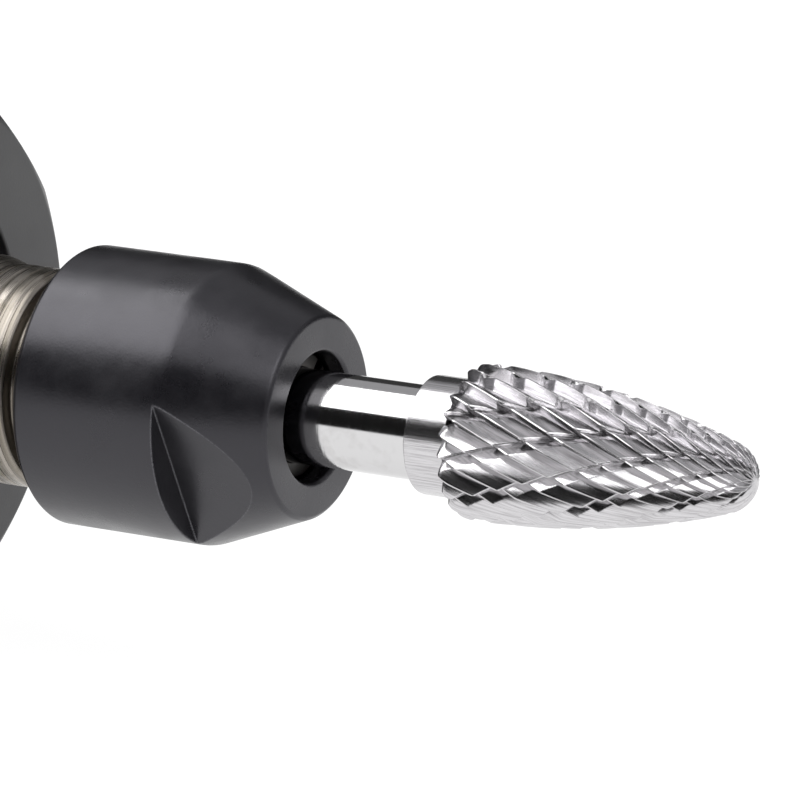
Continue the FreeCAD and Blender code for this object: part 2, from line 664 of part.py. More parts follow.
def safety_latch():
    """Strut that blocks the lever until its thumb tab is pushed forward."""
    barrel_r = 2.4
    barrel_end = 1.5
    spring_clear = 4.8
    leg_half, leg_length, leg_angle = 5.2, 14.0, 216.0
    tab_half, tab_length, tab_angle = 3.0, 12.0, 50.0
    barrel = cross_rod(-leg_half, barrel_end, barrel_r, LATCH_X, LATCH_Z)
    arms = []
    for half, length, angle in ((leg_half, leg_length, leg_angle), (tab_half, tab_length, tab_angle)):
        arm = block((0.0, -half, -LATCH_HALF), (length, barrel_end, LATCH_HALF))
        arm = arm.fuse(block((spring_clear, barrel_end, -LATCH_HALF), (length, half, LATCH_HALF)))
        arm.rotate(ORIGIN, Y_AXIS, -angle)
        arm.translate(FreeCAD.Vector(LATCH_X, 0, LATCH_Z))
        arms.append(arm)
    shape = barrel.fuse(arms).removeSplitter()
    return opened(shape.cut(cross_rod(-8.0, 8.0, LATCH_PIN_R + 0.07, LATCH_X, LATCH_Z)))


def latch_pin():
    """Rivet through the lever's walls."""
    half, end = LEVER_HALF_WIDTH, LEVER_HALF_WIDTH + 0.6
    head_r = 1.9
    shape = cross_rod(-half, half, LATCH_PIN_R, LATCH_X, LATCH_Z)
    heads = [cross_rod(low, high, head_r, LATCH_X, LATCH_Z) for low, high in ((half, end), (-end, -half))]
    return opened(shape.fuse(heads).removeSplitter())


def latch_spring():
    shape = coil(radius=1.95, wire=0.3, pitch=0.75, height=2.25)
    shape.rotate(ORIGIN, X_AXIS, -90.0)
    shape.translate(FreeCAD.Vector(LATCH_X, 2.3, LATCH_Z))
    return opened(shape)


# ---- Throttle valve ----
def throttle_plunger():
    """Push rod with a rounded top under the lever's plate."""
    dome_r = 2.5
    top = 28.82
    shape = post(PLUNGER_LOW, top, PLUNGER_R, VALVE_X)
    dome = Part.makeSphere(dome_r, FreeCAD.Vector(VALVE_X, 0, top - dome_r))
    return shape.common(dome.fuse(post(PLUNGER_LOW, top - dome_r, PLUNGER_R + 1, VALVE_X)))


def throttle_valve():
    """Stem, disc and spring guide in one turned piece."""
    guide_r, guide_low = 2.6, -1.5
    disc_r, disc_low = 4.9, 1.0
    return turned_post([(0, guide_low), (guide_r, guide_low), (guide_r, disc_low), (disc_r, disc_low),
                        (disc_r, VALVE_TOP), (VALVE_STEM_R, VALVE_TOP), (VALVE_STEM_R, PLUNGER_LOW),
                        (0, PLUNGER_LOW)], VALVE_X)


def sleeve_post(inner, outer, low, high):
    """Plain ring about the valve's axis."""
    return turned_post([(inner, low), (outer, low), (outer, high), (inner, high)], VALVE_X)


def valve_face_seal():
    return sleeve_post(VALVE_STEM_R, 4.5, VALVE_TOP, SEAT_Z - 0.1)


def valve_seat():
    return sleeve_post(3.0, CHAMBER_R, SEAT_Z, CHAMBER_TOP)


def valve_spring():
    wire = 0.42
    shape = coil(radius=3.6, wire=wire, pitch=2.4, height=12.0)
    shape.translate(FreeCAD.Vector(VALVE_X, 0, VALVE_CAP_TOP + wire + 0.13))
    return shape


def valve_cap():
    """Threaded plug under the valve, with a hexagon socket."""
    chamfer = 0.6
    groove_low, groove_high = -13.8, -12.7
    groove_r = 5.4
    socket_across, socket_depth = 6.0, 3.0
    shape = turned_post([(0, VALVE_CAP_LOW), (CHAMBER_R - chamfer, VALVE_CAP_LOW),
                         (CHAMBER_R, VALVE_CAP_LOW + chamfer), (CHAMBER_R, groove_low), (groove_r, groove_low),
                         (groove_r, groove_high), (CHAMBER_R, groove_high), (CHAMBER_R, VALVE_CAP_TOP),
                         (0, VALVE_CAP_TOP)], VALVE_X)
    socket = hexagon(socket_across, 0.0, socket_depth)
    socket.rotate(ORIGIN, Y_AXIS, -90.0)
    socket.translate(FreeCAD.Vector(VALVE_X, 0, VALVE_CAP_LOW))
    return shape.cut(socket)


def valve_cap_oring():
    major, wire = 5.95, 0.54
    return Part.makeTorus(major, wire, FreeCAD.Vector(VALVE_X, 0, VALVE_CAP_TOP - 1.25), Z_AXIS)


def plunger_bushing():
    """Flanged guide with an inner groove for the push rod's O-ring."""
    bore = PLUNGER_R + 0.06
    flange_r = 6.0
    top = 19.6
    chamfer, bore_chamfer = 0.4, 0.3
    groove_r = 3.2
    groove_low, groove_high = PLUNGER_ORING_Z - 0.6, PLUNGER_ORING_Z + 0.6
    return turned_post([(bore, BUSHING_LOW), (BUSHING_R, BUSHING_LOW), (BUSHING_R, BUSHING_SHOULDER),
                        (flange_r, BUSHING_SHOULDER), (flange_r, top - chamfer), (flange_r - chamfer, top),
                        (bore + bore_chamfer, top), (bore, top - bore_chamfer), (bore, groove_high),
                        (groove_r, groove_high), (groove_r, groove_low), (bore, groove_low)], VALVE_X)


def plunger_oring():
    major, wire = 2.63, 0.54
    return Part.makeTorus(major, wire, FreeCAD.Vector(VALVE_X, 0, PLUNGER_ORING_Z), Z_AXIS)


# ---- Power regulator ----
def regulator_dial():
    """Cross-drilled plug with a knurled, slotted head."""
    plug_end = 3.3
    notch_count, notch_r = 16, 0.6
    slot_half, slot_depth = 0.6, 1.2
    cross_hole_r = 1.9
    shape = cross_rod(REGULATOR_HEAD_START, plug_end, REGULATOR_R, REGULATOR_X, FEED_Z)
    head = cross_rod(REGULATOR_HEAD_END, REGULATOR_HEAD_START, REGULATOR_HEAD_R, REGULATOR_X, FEED_Z)
    notch = cross_rod(REGULATOR_HEAD_END - 0.6, REGULATOR_HEAD_START + 0.4, notch_r,
                      REGULATOR_X + REGULATOR_HEAD_R + 0.2, FEED_Z)
    notches = []
    for angle in spaced(notch_count):
        copy = notch.copy()
        copy.rotate(FreeCAD.Vector(REGULATOR_X, 0, FEED_Z), Y_AXIS, angle)
        notches.append(copy)
    shape = shape.fuse(head.cut(notches))
    grooves = [collar_cut(middle - half, middle + half, depth, 4.0, REGULATOR_X, FEED_Z)
               for middle, half, depth in ((SET_SCREW_Y, 0.9, 2.1), (REGULATOR_ORING_Y, 0.6, 2.0))]
    slot = block((REGULATOR_X - 6.0, REGULATOR_HEAD_END - 0.6, FEED_Z - slot_half),
                 (REGULATOR_X + 6.0, REGULATOR_HEAD_END + slot_depth, FEED_Z + slot_half))
    return shape.cut(grooves + [rod(REGULATOR_X - 5, REGULATOR_X + 5, cross_hole_r, z=FEED_Z), slot])


def regulator_oring():
    major, wire = 2.52, 0.5
    return Part.makeTorus(major, wire, FreeCAD.Vector(REGULATOR_X, REGULATOR_ORING_Y, FEED_Z), Y_AXIS)


def regulator_set_screw():
    """Screw whose tip runs in the regulator's groove and holds it in."""
    top, tip = 17.0, 14.7
    tip_r = 0.7
    slot_half, slot_floor = 0.25, 16.3
    shape = post(SET_SCREW_LOW, top, SET_SCREW_R, REGULATOR_X, y=SET_SCREW_Y)
    shape = shape.fuse(post(tip, SET_SCREW_LOW, tip_r, REGULATOR_X, y=SET_SCREW_Y))
    return shape.cut(block((REGULATOR_X - 2, SET_SCREW_Y - slot_half, slot_floor),
                           (REGULATOR_X + 2, SET_SCREW_Y + slot_half, top + 1)))


# ---- Air inlet and exhaust ----
def inlet_bushing():
    """Hexagon, threaded mouth, screen seat and an O-ring groove at its inner end."""
    chamfer = 1.2
    face_r = 11.4
    corner_r = 12.8
    groove_start, groove_end = INLET_ORING_X - 1.0, INLET_ORING_X + 1.0
    groove_r = 6.8
    screen_seat_end = 13.2
    chamfered = turned([(0, 0), (0, face_r), (chamfer, corner_r), (HEX_END - chamfer, corner_r),
                        (HEX_END, face_r), (HEX_END, 0)])
    shape = hexagon(INLET_HEX, 0.0, HEX_END).common(chamfered)
    shank = turned([(HEX_END, 0), (HEX_END, INLET_SHANK_R), (groove_start, INLET_SHANK_R),
                    (groove_start, groove_r), (groove_end, groove_r), (groove_end, INLET_SHANK_R),
                    (INLET_SHANK_END, INLET_SHANK_R), (INLET_SHANK_END, 0)])
    return shape.fuse(shank).cut([
        rod(-1.0, INLET_THREAD_LENGTH, INLET_THREAD_R),
        rod(INLET_THREAD_LENGTH, screen_seat_end, SCREEN_R + 0.05),
        rod(screen_seat_end, INLET_SHANK_END + 1, INLET_BORE_R),
    ])


def inlet_screen():
    """Perforated disc that keeps grit out of the valve."""
    start, end = INLET_THREAD_LENGTH + 0.1, INLET_THREAD_LENGTH + 1.1
    inner_ring, outer_ring = 1.9, 3.7
    shape = rod(start, end, SCREEN_R).cut(rod(start - 1, end + 1, SCREEN_HOLE_R))
    for distance, count in ((inner_ring, 6), (outer_ring, 12)):
        shape = shape.cut(around(rod(start - 1, end + 1, SCREEN_HOLE_R, y=distance), spaced(count)))
    return shape


def inlet_oring():
    major, wire = 7.4, 0.59
    return ring(INLET_ORING_X, major, wire)


def exhaust_deflector():
    """Cup that turns on the rear boss and sends the exhaust out through one side."""
    chamfer, rim_chamfer = 1.2, 0.6
    bore = BOSS_R + 0.08
    wall_end = 12.5
    slot_half = 1.3
    shape = turned([(DEFLECTOR_START, bore), (DEFLECTOR_START, DEFLECTOR_R - chamfer),
                    (DEFLECTOR_START + chamfer, DEFLECTOR_R), (DEFLECTOR_END - rim_chamfer, DEFLECTOR_R),
                    (DEFLECTOR_END, DEFLECTOR_R - rim_chamfer), (DEFLECTOR_END, DEFLECTOR_INNER_R),
                    (wall_end, DEFLECTOR_INNER_R), (wall_end, bore)])
    start, end = DEFLECTOR_SLOT
    slot = block((start, DEFLECTOR_INNER_R - 1, -slot_half), (end, DEFLECTOR_R + 1, slot_half))
    return shape.cut(around(slot, DEFLECTOR_SLOT_ANGLES))


def deflector_oring():
    major, wire = 16.5, 0.6
    return ring((REAR_GROOVE[0] + REAR_GROOVE[1]) / 2.0, major, wire)


def muffler_felt():
    return tube(SILENCER[0], SILENCER[1], BOSS_R + 0.1, 16.2)


def exhaust_screen():
    """Perforated sleeve round the felt."""
    inner, outer = 16.3, 16.8
    hole_r = 0.8
    rows, first_row, row_pitch = 5, 16.0, 2.8
    per_row = 20
    shape = tube(SILENCER[0], SILENCER[1], inner, outer)
    holes = []
    for row in range(rows):
        hole = cross_rod(inner - 1, outer + 1, hole_r, first_row + row_pitch * row, 0.0)
        shift = 180.0 / per_row * (row % 2)
        holes += [at_angle(hole, angle + shift) for angle in spaced(per_row)]
    return shape.cut(holes)


PARTS = {
    "burr_shank": burr_shank,
    "burr_head": burr_head,
    "collet_nut": collet_nut,
    "collet": collet,
    "collet_snap_ring": collet_snap_ring,
    "collet_body": collet_body,
    "rotor": rotor,
    "rotor_vanes": rotor_vanes,
    "motor_cylinder": motor_cylinder,
    "cylinder_dowel": cylinder_dowel,
    "rear_end_plate": rear_end_plate,
    "front_end_plate": front_end_plate,
    "motor_gasket": motor_gasket,
    "front_bearing_inner_ring": lambda: bearing_ring(FRONT_BEARING, outer=False),
    "front_bearing_outer_ring": lambda: bearing_ring(FRONT_BEARING, outer=True),
    "front_bearing_balls": lambda: bearing_balls(FRONT_BEARING),
    "front_bearing_cage": lambda: bearing_cage(FRONT_BEARING),
    "rear_bearing_inner_ring": lambda: bearing_ring(REAR_BEARING, outer=False),
    "rear_bearing_outer_ring": lambda: bearing_ring(REAR_BEARING, outer=True),
    "rear_bearing_balls": lambda: bearing_balls(REAR_BEARING),
    "rear_bearing_cage": lambda: bearing_cage(REAR_BEARING),
    "wave_washer": wave_washer,
    "front_cap": front_cap,
    "dust_seal": dust_seal,
    "housing": housing,
    "grip_sleeve": grip_sleeve,
    "throttle_lever": throttle_lever,
    "lever_pin": lever_pin,
    "lever_pin_clip": lever_pin_clip,
    "safety_latch": safety_latch,
    "latch_pin": latch_pin,
    "latch_spring": latch_spring,
    "throttle_plunger": throttle_plunger,
    "throttle_valve": throttle_valve,
    "valve_face_seal": valve_face_seal,
    "valve_seat": valve_seat,
    "valve_spring": valve_spring,
    "valve_cap": valve_cap,
    "valve_cap_oring": valve_cap_oring,
    "plunger_bushing": plunger_bushing,
    "plunger_oring": plunger_oring,
    "regulator_dial": regulator_dial,
    "regulator_oring": regulator_oring,
    "regulator_set_screw": regulator_set_screw,
    "inlet_bushing": inlet_bushing,
    "inlet_screen": inlet_screen,
    "inlet_oring": inlet_oring,
    "exhaust_deflector": exhaust_deflector,
    "deflector_oring": deflector_oring,
    "muffler_felt": muffler_felt,
    "exhaust_screen": exhaust_screen,
}

os.makedirs("parts", exist_ok=True)
for node, make in PARTS.items():
    shape = make()
    shape.exportStep("parts/" + node + ".step")
    print(f"{node:28s} solids {len(shape.Solids)} volume {shape.Volume:10.1f} valid {shape.isValid()}")
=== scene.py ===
"""Looks for the straight air die grinder: meshes for its nose and grip, materials, light and camera."""

import json
import math

import bmesh
import bpy
from mathutils import Matrix, Quaternion, Vector

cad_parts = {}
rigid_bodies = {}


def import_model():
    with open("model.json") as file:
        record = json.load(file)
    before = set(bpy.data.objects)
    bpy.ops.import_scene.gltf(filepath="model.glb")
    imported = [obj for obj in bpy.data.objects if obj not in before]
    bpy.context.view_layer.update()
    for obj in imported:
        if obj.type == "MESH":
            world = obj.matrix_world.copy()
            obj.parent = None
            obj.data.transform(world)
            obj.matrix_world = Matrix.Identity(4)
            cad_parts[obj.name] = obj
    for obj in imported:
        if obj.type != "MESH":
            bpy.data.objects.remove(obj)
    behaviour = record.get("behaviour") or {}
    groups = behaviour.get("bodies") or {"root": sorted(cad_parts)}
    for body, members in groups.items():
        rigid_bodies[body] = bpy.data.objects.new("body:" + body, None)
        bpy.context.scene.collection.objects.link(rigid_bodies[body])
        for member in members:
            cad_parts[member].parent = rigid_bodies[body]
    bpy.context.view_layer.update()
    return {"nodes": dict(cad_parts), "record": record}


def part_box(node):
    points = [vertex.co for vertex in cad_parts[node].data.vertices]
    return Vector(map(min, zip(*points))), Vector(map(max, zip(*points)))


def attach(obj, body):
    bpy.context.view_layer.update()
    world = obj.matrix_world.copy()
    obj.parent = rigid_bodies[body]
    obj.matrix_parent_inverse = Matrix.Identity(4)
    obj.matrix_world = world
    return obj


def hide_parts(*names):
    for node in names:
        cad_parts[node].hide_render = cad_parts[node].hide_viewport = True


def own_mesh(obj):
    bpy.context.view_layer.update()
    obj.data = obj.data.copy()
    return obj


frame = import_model()
nodes = frame["nodes"]
MM = 0.001

# ---- Places worked out from the frame, in millimetres ----
NUT_LOW, NUT_HIGH = (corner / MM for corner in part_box("collet_nut"))
HEAD_LOW, HEAD_HIGH = (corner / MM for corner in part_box("burr_head"))
SHANK_LOW, SHANK_HIGH = (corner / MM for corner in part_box("burr_shank"))
SPINDLE_LOW, SPINDLE_HIGH = (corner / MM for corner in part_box("collet_body"))
COLLET_LOW, COLLET_HIGH = (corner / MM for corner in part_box("collet"))
CAP_LOW, CAP_HIGH = (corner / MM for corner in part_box("front_cap"))
GRIP_LOW, GRIP_HIGH = (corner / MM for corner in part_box("grip_sleeve"))
NUT_R = NUT_HIGH.y
SHANK_R = SHANK_HIGH.y
GRIP_FLAT = -GRIP_LOW.z


# ---- Material helper ----
EVEN = (1.0, 1.0, 1.0)
RINGS = (1.0, 0.02, 0.02)    # stretch that turns noise into rings round the axis
FINE_RINGS = (1.0, 0.03, 0.03)
BANDS = (1.0, 0.01, 0.01)
BEVEL_SAMPLES = 4
TEETH_MAP = "teeth"          # the burr's texture map: teeth one way, millimetres along the head the other
WEAR_RANGE = (0.995, 0.93)   # how far the softened normal leans from the true one where wear starts and ends


class Look:
    """A node material: a Principled shader, with texture added to it by short calls."""

    def __init__(self, name, colour, metallic, roughness):
        self.material = bpy.data.materials.new(name)
        self.material.use_nodes = True
        self.tree = self.material.node_tree
        self.shader = self.tree.nodes["Principled BSDF"]
        self.colour, self.roughness, self.normal = colour, roughness, None
        self.set("Base Color", (*colour, 1.0))
        self.set("Metallic", metallic)
        self.set("Roughness", roughness)

    def set(self, socket, value):
        """Sets one of the shader's own values."""
        self.shader.inputs[socket].default_value = value

    def node(self, kind, **inputs):
        """A node whose inputs are given by name, each as a value or as another node's output."""
        made = self.tree.nodes.new("ShaderNode" + kind)
        for key, value in inputs.items():
            socket = made.inputs[int(key[1:]) if key[0] == "i" and key[1:].isdigit() else key]
            if isinstance(value, bpy.types.NodeSocket):
                self.tree.links.new(value, socket)
            else:
                socket.default_value = value
        return made

    def place(self, stretch=EVEN):
        """Object coordinates in millimetres, stretched along the axes."""
        where = self.node("TexCoord").outputs["Object"]
        scale = [s / MM for s in stretch]
        return self.node("Mapping", Vector=where, Scale=scale).outputs["Vector"]

    def noise(self, scale, detail=3.0, stretch=EVEN, where=None):
        """Noise with this many cells to the millimetre."""
        place = where or self.place(stretch)
        return self.node("TexNoise", Vector=place, Scale=scale, Detail=detail, Roughness=0.55).outputs["Fac"]

    def ramp(self, factor, start, end, low=0.0, high=1.0):
        """The factor's range from start to end, spread over low to high."""
        made = self.node("MapRange", Value=factor)
        made.inputs["From Min"].default_value = start
        made.inputs["From Max"].default_value = end
        made.inputs["To Min"].default_value = low
        made.inputs["To Max"].default_value = high
        return made.outputs["Result"]

    def product(self, first, second):
        """Two factors multiplied."""
        made = self.node("Math", i0=first, i1=second)
        made.operation = "MULTIPLY"
        return made.outputs[0]

    def tint(self, factor, other):
        """Mixes the base colour, or what it was mixed to before, with another colour."""
        made = self.tree.nodes.new("ShaderNodeMix")
        made.data_type = "RGBA"
        colours = [s for s in made.inputs if s.type == "RGBA"]
        base = self.shader.inputs["Base Color"]
        if base.is_linked:
            self.tree.links.new(base.links[0].from_socket, colours[0])
        else:
            colours[0].default_value = (*self.colour, 1.0)
        colours[1].default_value = (*other, 1.0)
        self.tree.links.new(factor, made.inputs[0])
        self.tree.links.new([s for s in made.outputs if s.type == "RGBA"][0], base)

    def vary(self, factor, low, high):
        """Roughness between two values as the factor goes from 0.3 to 0.7."""
        self.tree.links.new(self.ramp(factor, 0.3, 0.7, low, high), self.shader.inputs["Roughness"])

    def edges(self, radius):
        """Softens the edges' highlights and returns a mask that is 1 on the edges."""
        soft = self.node("Bevel", Radius=radius * MM)
        soft.samples = BEVEL_SAMPLES
        self.normal = soft.outputs["Normal"]
        hard = self.node("NewGeometry").outputs["Normal"]
        dot = self.node("VectorMath", i0=self.normal, i1=hard)
        dot.operation = "DOT_PRODUCT"
        self.tree.links.new(self.normal, self.shader.inputs["Normal"])
        return self.ramp(dot.outputs["Value"], *WEAR_RANGE)

    def bump(self, height, depth):
        """Raises the surface by this many millimetres where the height is 1."""
        made = self.node("Bump", Height=height, Strength=1.0, Distance=depth * MM)
        if self.normal is not None:
            self.tree.links.new(self.normal, made.inputs["Normal"])
        self.normal = made.outputs["Normal"]
        self.tree.links.new(self.normal, self.shader.inputs["Normal"])


# ---- Materials ----
def black_oxide():
    """Blackened steel: cloudy satin, with edges lightened partly by wear and partly as a painted highlight.
    """
    look = Look("black_oxide_look", (0.0045, 0.0043, 0.0058), 0.0, 0.3)
    look.set("IOR", 1.6)
    look.set("Specular Tint", (0.94, 0.92, 1.0, 1.0))
    cloud = look.noise(0.32, 5.0)
    grain = look.noise(6.0, 3.0)
    worn = look.edges(0.16)
    look.tint(look.ramp(cloud, 0.35, 0.72), (0.0095, 0.0092, 0.011))
    # Edges lightened in grain-broken patches: partly rubbed wear, partly a painted highlight along the nut's
    # face and cone edges.
    look.tint(look.product(worn, look.ramp(grain, 0.25, 0.55)), (0.13, 0.13, 0.14))
    look.vary(cloud, 0.24, 0.38)
    look.bump(grain, 0.006)
    look.bump(look.noise(0.7, 2.0), 0.008)
    return look.material


def cap_black():
    """The nose cap's blackened face, with faint turning rings."""
    look = Look("cap_look", (0.020, 0.020, 0.022), 0.0, 0.4)
    look.set("IOR", 1.6)
    rings = look.noise(3.5, 2.0, RINGS)
    cloud = look.noise(0.25, 4.0)
    worn = look.edges(0.2)
    look.tint(look.ramp(cloud, 0.35, 0.7), (0.029, 0.028, 0.031))
    look.tint(look.product(worn, look.ramp(cloud, 0.3, 0.55)), (0.11, 0.11, 0.115))
    look.vary(cloud, 0.33, 0.46)
    look.bump(rings, 0.01)
    look.bump(look.noise(5.0, 2.0), 0.006)
    return look.material


def turned_steel():
    """Bare turned steel, brown-grey, with the lathe's rings round it and old oil on it."""
    look = Look("turned_steel_look", (0.35, 0.32, 0.285), 1.0, 0.3)
    rings = look.noise(7.0, 2.0, RINGS)
    broad = look.noise(1.6, 1.0, BANDS)
    stain = look.noise(0.5, 5.0)
    look.edges(0.1)
    look.tint(look.ramp(broad, 0.46, 0.6), (0.2, 0.18, 0.15))
    look.tint(look.ramp(stain, 0.52, 0.74), (0.1, 0.085, 0.06))
    look.vary(rings, 0.2, 0.38)
    look.bump(rings, 0.03)
    return look.material


def polished_shank():
    """Centreless-ground steel: bright, with very fine rings."""
    look = Look("polished_shank_look", (0.64, 0.635, 0.64), 1.0, 0.09)
    rings = look.noise(14.0, 2.0, FINE_RINGS)
    haze = look.noise(0.8, 3.0)
    look.edges(0.08)
    look.tint(look.ramp(haze, 0.5, 0.8), (0.55, 0.54, 0.54))
    look.vary(rings, 0.06, 0.13)
    look.bump(rings, 0.002)
    return look.material


def ground_carbide():
    """Ground tungsten carbide: the wheel's fine lines run along every tooth."""
    look = Look("ground_carbide_look", (0.64, 0.63, 0.645), 1.0, 0.2)
    along = look.node("UVMap")
    along.uv_map = TEETH_MAP
    lines = look.node("Mapping", Vector=along.outputs["UV"], Scale=(14.0, 0.35, 1.0)).outputs["Vector"]
    streak = look.noise(1.0, 3.0, where=lines)
    cell = look.noise(0.9, 2.0)
    look.edges(0.05)
    look.tint(look.ramp(streak, 0.42, 0.72), (0.42, 0.41, 0.42))
    look.vary(streak, 0.12, 0.26)
    look.bump(streak, 0.0035)
    look.bump(cell, 0.006)
    return look.material


def hardened_steel():
    """Dark hardened steel with faint grinding rings."""
    look = Look("hardened_steel_look", (0.055, 0.053, 0.052), 1.0, 0.38)
    rings = look.noise(5.0, 2.0, FINE_RINGS)
    look.edges(0.08)
    look.tint(look.ramp(look.noise(0.6, 4.0), 0.4, 0.7), (0.09, 0.085, 0.08))
    look.vary(rings, 0.3, 0.46)
    look.bump(rings, 0.01)
    return look.material


def housing_black():
    """Bead-blasted black anodising, rubbed brighter on its edges."""
    look = Look("housing_look", (0.020, 0.020, 0.022), 0.0, 0.42)
    look.set("IOR", 1.6)
    grit = look.noise(9.0, 2.0)
    cloud = look.noise(0.12, 5.0)
    worn = look.edges(0.3)
    look.tint(look.ramp(cloud, 0.35, 0.7), (0.030, 0.030, 0.031))
    look.tint(look.product(worn, look.ramp(cloud, 0.42, 0.6)), (0.22, 0.22, 0.225))
    look.vary(cloud, 0.36, 0.5)
    look.bump(grit, 0.02)
    return look.material


def deflector_black():
    """Anodised aluminium cup with turning rings under the black."""
    look = Look("deflector_look", (0.016, 0.016, 0.018), 0.0, 0.36)
    look.set("IOR", 1.6)
    rings = look.noise(4.0, 2.0, RINGS)
    cloud = look.noise(0.15, 5.0)
    worn = look.edges(0.25)
    look.tint(look.ramp(cloud, 0.4, 0.7), (0.026, 0.026, 0.027))
    look.tint(look.product(worn, look.ramp(look.noise(1.4, 3.0), 0.4, 0.6)), (0.25, 0.25, 0.255))
    look.vary(cloud, 0.28, 0.44)
    look.bump(rings, 0.012)
    return look.material


def grip_rubber():
    """Moulded rubber: matt, finely grained, with a little dust in the grain."""
    look = Look("grip_look", (0.015, 0.015, 0.016), 0.0, 0.66)
    grain = look.noise(5.0, 3.0)
    dust = look.noise(0.22, 6.0)
    look.tint(look.ramp(dust, 0.5, 0.78), (0.034, 0.033, 0.032))
    look.vary(grain, 0.58, 0.75)
    look.bump(grain, 0.05)
    return look.material


def lever_paint():
    """Textured black powder coat, worn to steel along its edges."""
    look = Look("lever_look", (0.022, 0.022, 0.024), 0.0, 0.38)
    peel = look.noise(1.6, 2.0)
    chips = look.noise(0.9, 5.0)
    worn = look.edges(0.35)
    bare = look.product(worn, look.ramp(chips, 0.52, 0.6))
    look.tint(look.ramp(look.noise(0.1, 4.0), 0.4, 0.7), (0.031, 0.031, 0.033))
    look.tint(bare, (0.40, 0.39, 0.38))
    look.vary(look.noise(0.5, 4.0), 0.3, 0.46)
    look.bump(peel, 0.05)
    return look.material


def zinc(name, colour, rough):
    """Bright zinc plate with a faint cloudy bloom."""
    look = Look(name, colour, 1.0, rough)
    bloom = look.noise(0.45, 5.0)
    worn = look.edges(0.2)
    look.tint(look.ramp(bloom, 0.4, 0.7), tuple(c * 0.72 for c in colour))
    look.tint(worn, tuple(min(1.0, c * 1.35) for c in colour))
    look.vary(bloom, rough * 0.8, rough * 1.35)
    look.bump(look.noise(4.0, 2.0), 0.008)
    return look.material


def brass(name, colour):
    """Turned brass with a little tarnish."""
    look = Look(name, colour, 1.0, 0.25)
    tarnish = look.noise(0.5, 5.0)
    rings = look.noise(6.0, 2.0)
    look.edges(0.12)
    look.tint(look.ramp(tarnish, 0.45, 0.75), tuple(c * 0.55 for c in colour))
    look.vary(tarnish, 0.2, 0.38)
    look.bump(rings, 0.008)
    return look.material


def steel(name, colour, rough, scale):
    """Plain bright steel for pins, springs and bearings."""
    look = Look(name, colour, 1.0, rough)
    drawn = look.noise(scale, 3.0)
    look.edges(0.06)
    look.tint(look.ramp(drawn, 0.4, 0.7), tuple(c * 0.75 for c in colour))
    look.vary(drawn, rough * 0.75, rough * 1.3)
    look.bump(drawn, 0.006)
    return look.material


def soft(name, colour, rough, scale, depth):
    """Rubber, felt, paper and plastic: matt, with grain of this scale and depth."""
    look = Look(name, colour, 0.0, rough)
    grain = look.noise(scale, 4.0)
    look.tint(look.ramp(grain, 0.35, 0.7), tuple(c * 1.7 for c in colour))
    look.vary(grain, rough * 0.9, min(1.0, rough * 1.15))
    look.bump(grain, depth)
    return look.material


def make_looks():
    """The finish for every material slot in the record."""
    return {
        "black_oxide_steel": black_oxide(),
        "cap_finish": cap_black(),
        "turned_steel": turned_steel(),
        "polished_shank": polished_shank(),
        "ground_carbide": ground_carbide(),
        "hardened_steel": hardened_steel(),
        "housing_finish": housing_black(),
        "deflector_finish": deflector_black(),
        "grip_rubber": grip_rubber(),
        "lever_finish": lever_paint(),
        "latch_finish": zinc("latch_look", (0.46, 0.47, 0.49), 0.3),
        "inlet_steel": zinc("inlet_look", (0.40, 0.40, 0.41), 0.27),
        "brass_fittings": brass("brass_look", (0.62, 0.45, 0.19)),
        "regulator_finish": brass("regulator_look", (0.66, 0.49, 0.22)),
        "pin_steel": steel("pin_look", (0.45, 0.45, 0.46), 0.22, 3.0),
        "spring_steel": steel("spring_look", (0.30, 0.30, 0.31), 0.3, 4.0),
        "bearing_steel": steel("bearing_look", (0.55, 0.55, 0.56), 0.12, 2.0),
        "screen_wire": steel("screen_look", (0.42, 0.42, 0.41), 0.3, 5.0),
        "seal_rubber": soft("seal_look", (0.012, 0.012, 0.012), 0.5, 3.0, 0.02),
        "felt": soft("felt_look", (0.16, 0.155, 0.14), 0.95, 7.0, 0.15),
        "gasket_paper": soft("gasket_look", (0.10, 0.09, 0.07), 0.85, 4.0, 0.03),
        "vane_composite": soft("vane_look", (0.12, 0.07, 0.04), 0.5, 5.0, 0.01),
        "cage_plastic": soft("cage_look", (0.30, 0.24, 0.15), 0.45, 2.0, 0.01),
    }


def dress(looks):
    """Gives every CAD node its slot's finish."""
    for entry in frame["record"]["subparts"]:
        materials = nodes[entry["node"]].data.materials
        materials.clear()
        materials.append(looks[entry["material_slot"]])


# ---- Mesh helpers ----
def rounded(corners):
    """The outline of these (x, radius, fillet) corners, each turned through a curve as wide as its fillet."""
    result = []
    for i, (x, r, fillet) in enumerate(corners):
        here = Vector((x, r))
        before = Vector(corners[i - 1][:2]) - here
        after = Vector(corners[(i + 1) % len(corners)][:2]) - here
        if not fillet:
            result.append((x, r))
            continue
        a = here + before.normalized() * min(fillet, before.length * 0.48)
        b = here + after.normalized() * min(fillet, after.length * 0.48)
        steps = max(2, math.ceil(math.degrees(math.pi - before.angle(after)) / 9.0))
        for k in range(steps + 1):
            t = k / steps
            point = a * (1.0 - t) ** 2 + here * 2.0 * t * (1.0 - t) + b * t * t
            result.append((point.x, point.y))
    return result


def turned(name, outline, segments=256):
    """Mesh turned about the X axis through a closed outline of (x, radius) points in millimetres."""
    points, faces = [], []
    count = len(outline)
    for k in range(segments):
        angle = 2.0 * math.pi * k / segments
        points += [round_axis(x, r, angle) for x, r in outline]
    for k in range(segments):
        for i in range(count):
            a, b = k * count + i, k * count + (i + 1) % count
            shift = ((k + 1) % segments - k) * count
            faces.append((a, b, b + shift, a + shift))
    return new_mesh(name, points, faces)


def ring_faces(first, second, count):
    """Faces between two closed rings of points, given by the number of each ring's first point."""
    faces = []
    for k in range(count):
        after = (k + 1) % count
        faces.append((first + k, first + after, second + after, second + k))
    return faces


def new_mesh(name, points, faces):
    """A mesh from points in metres."""
    mesh = bpy.data.meshes.new(name)
    mesh.from_pydata(points, [], faces)
    return mesh


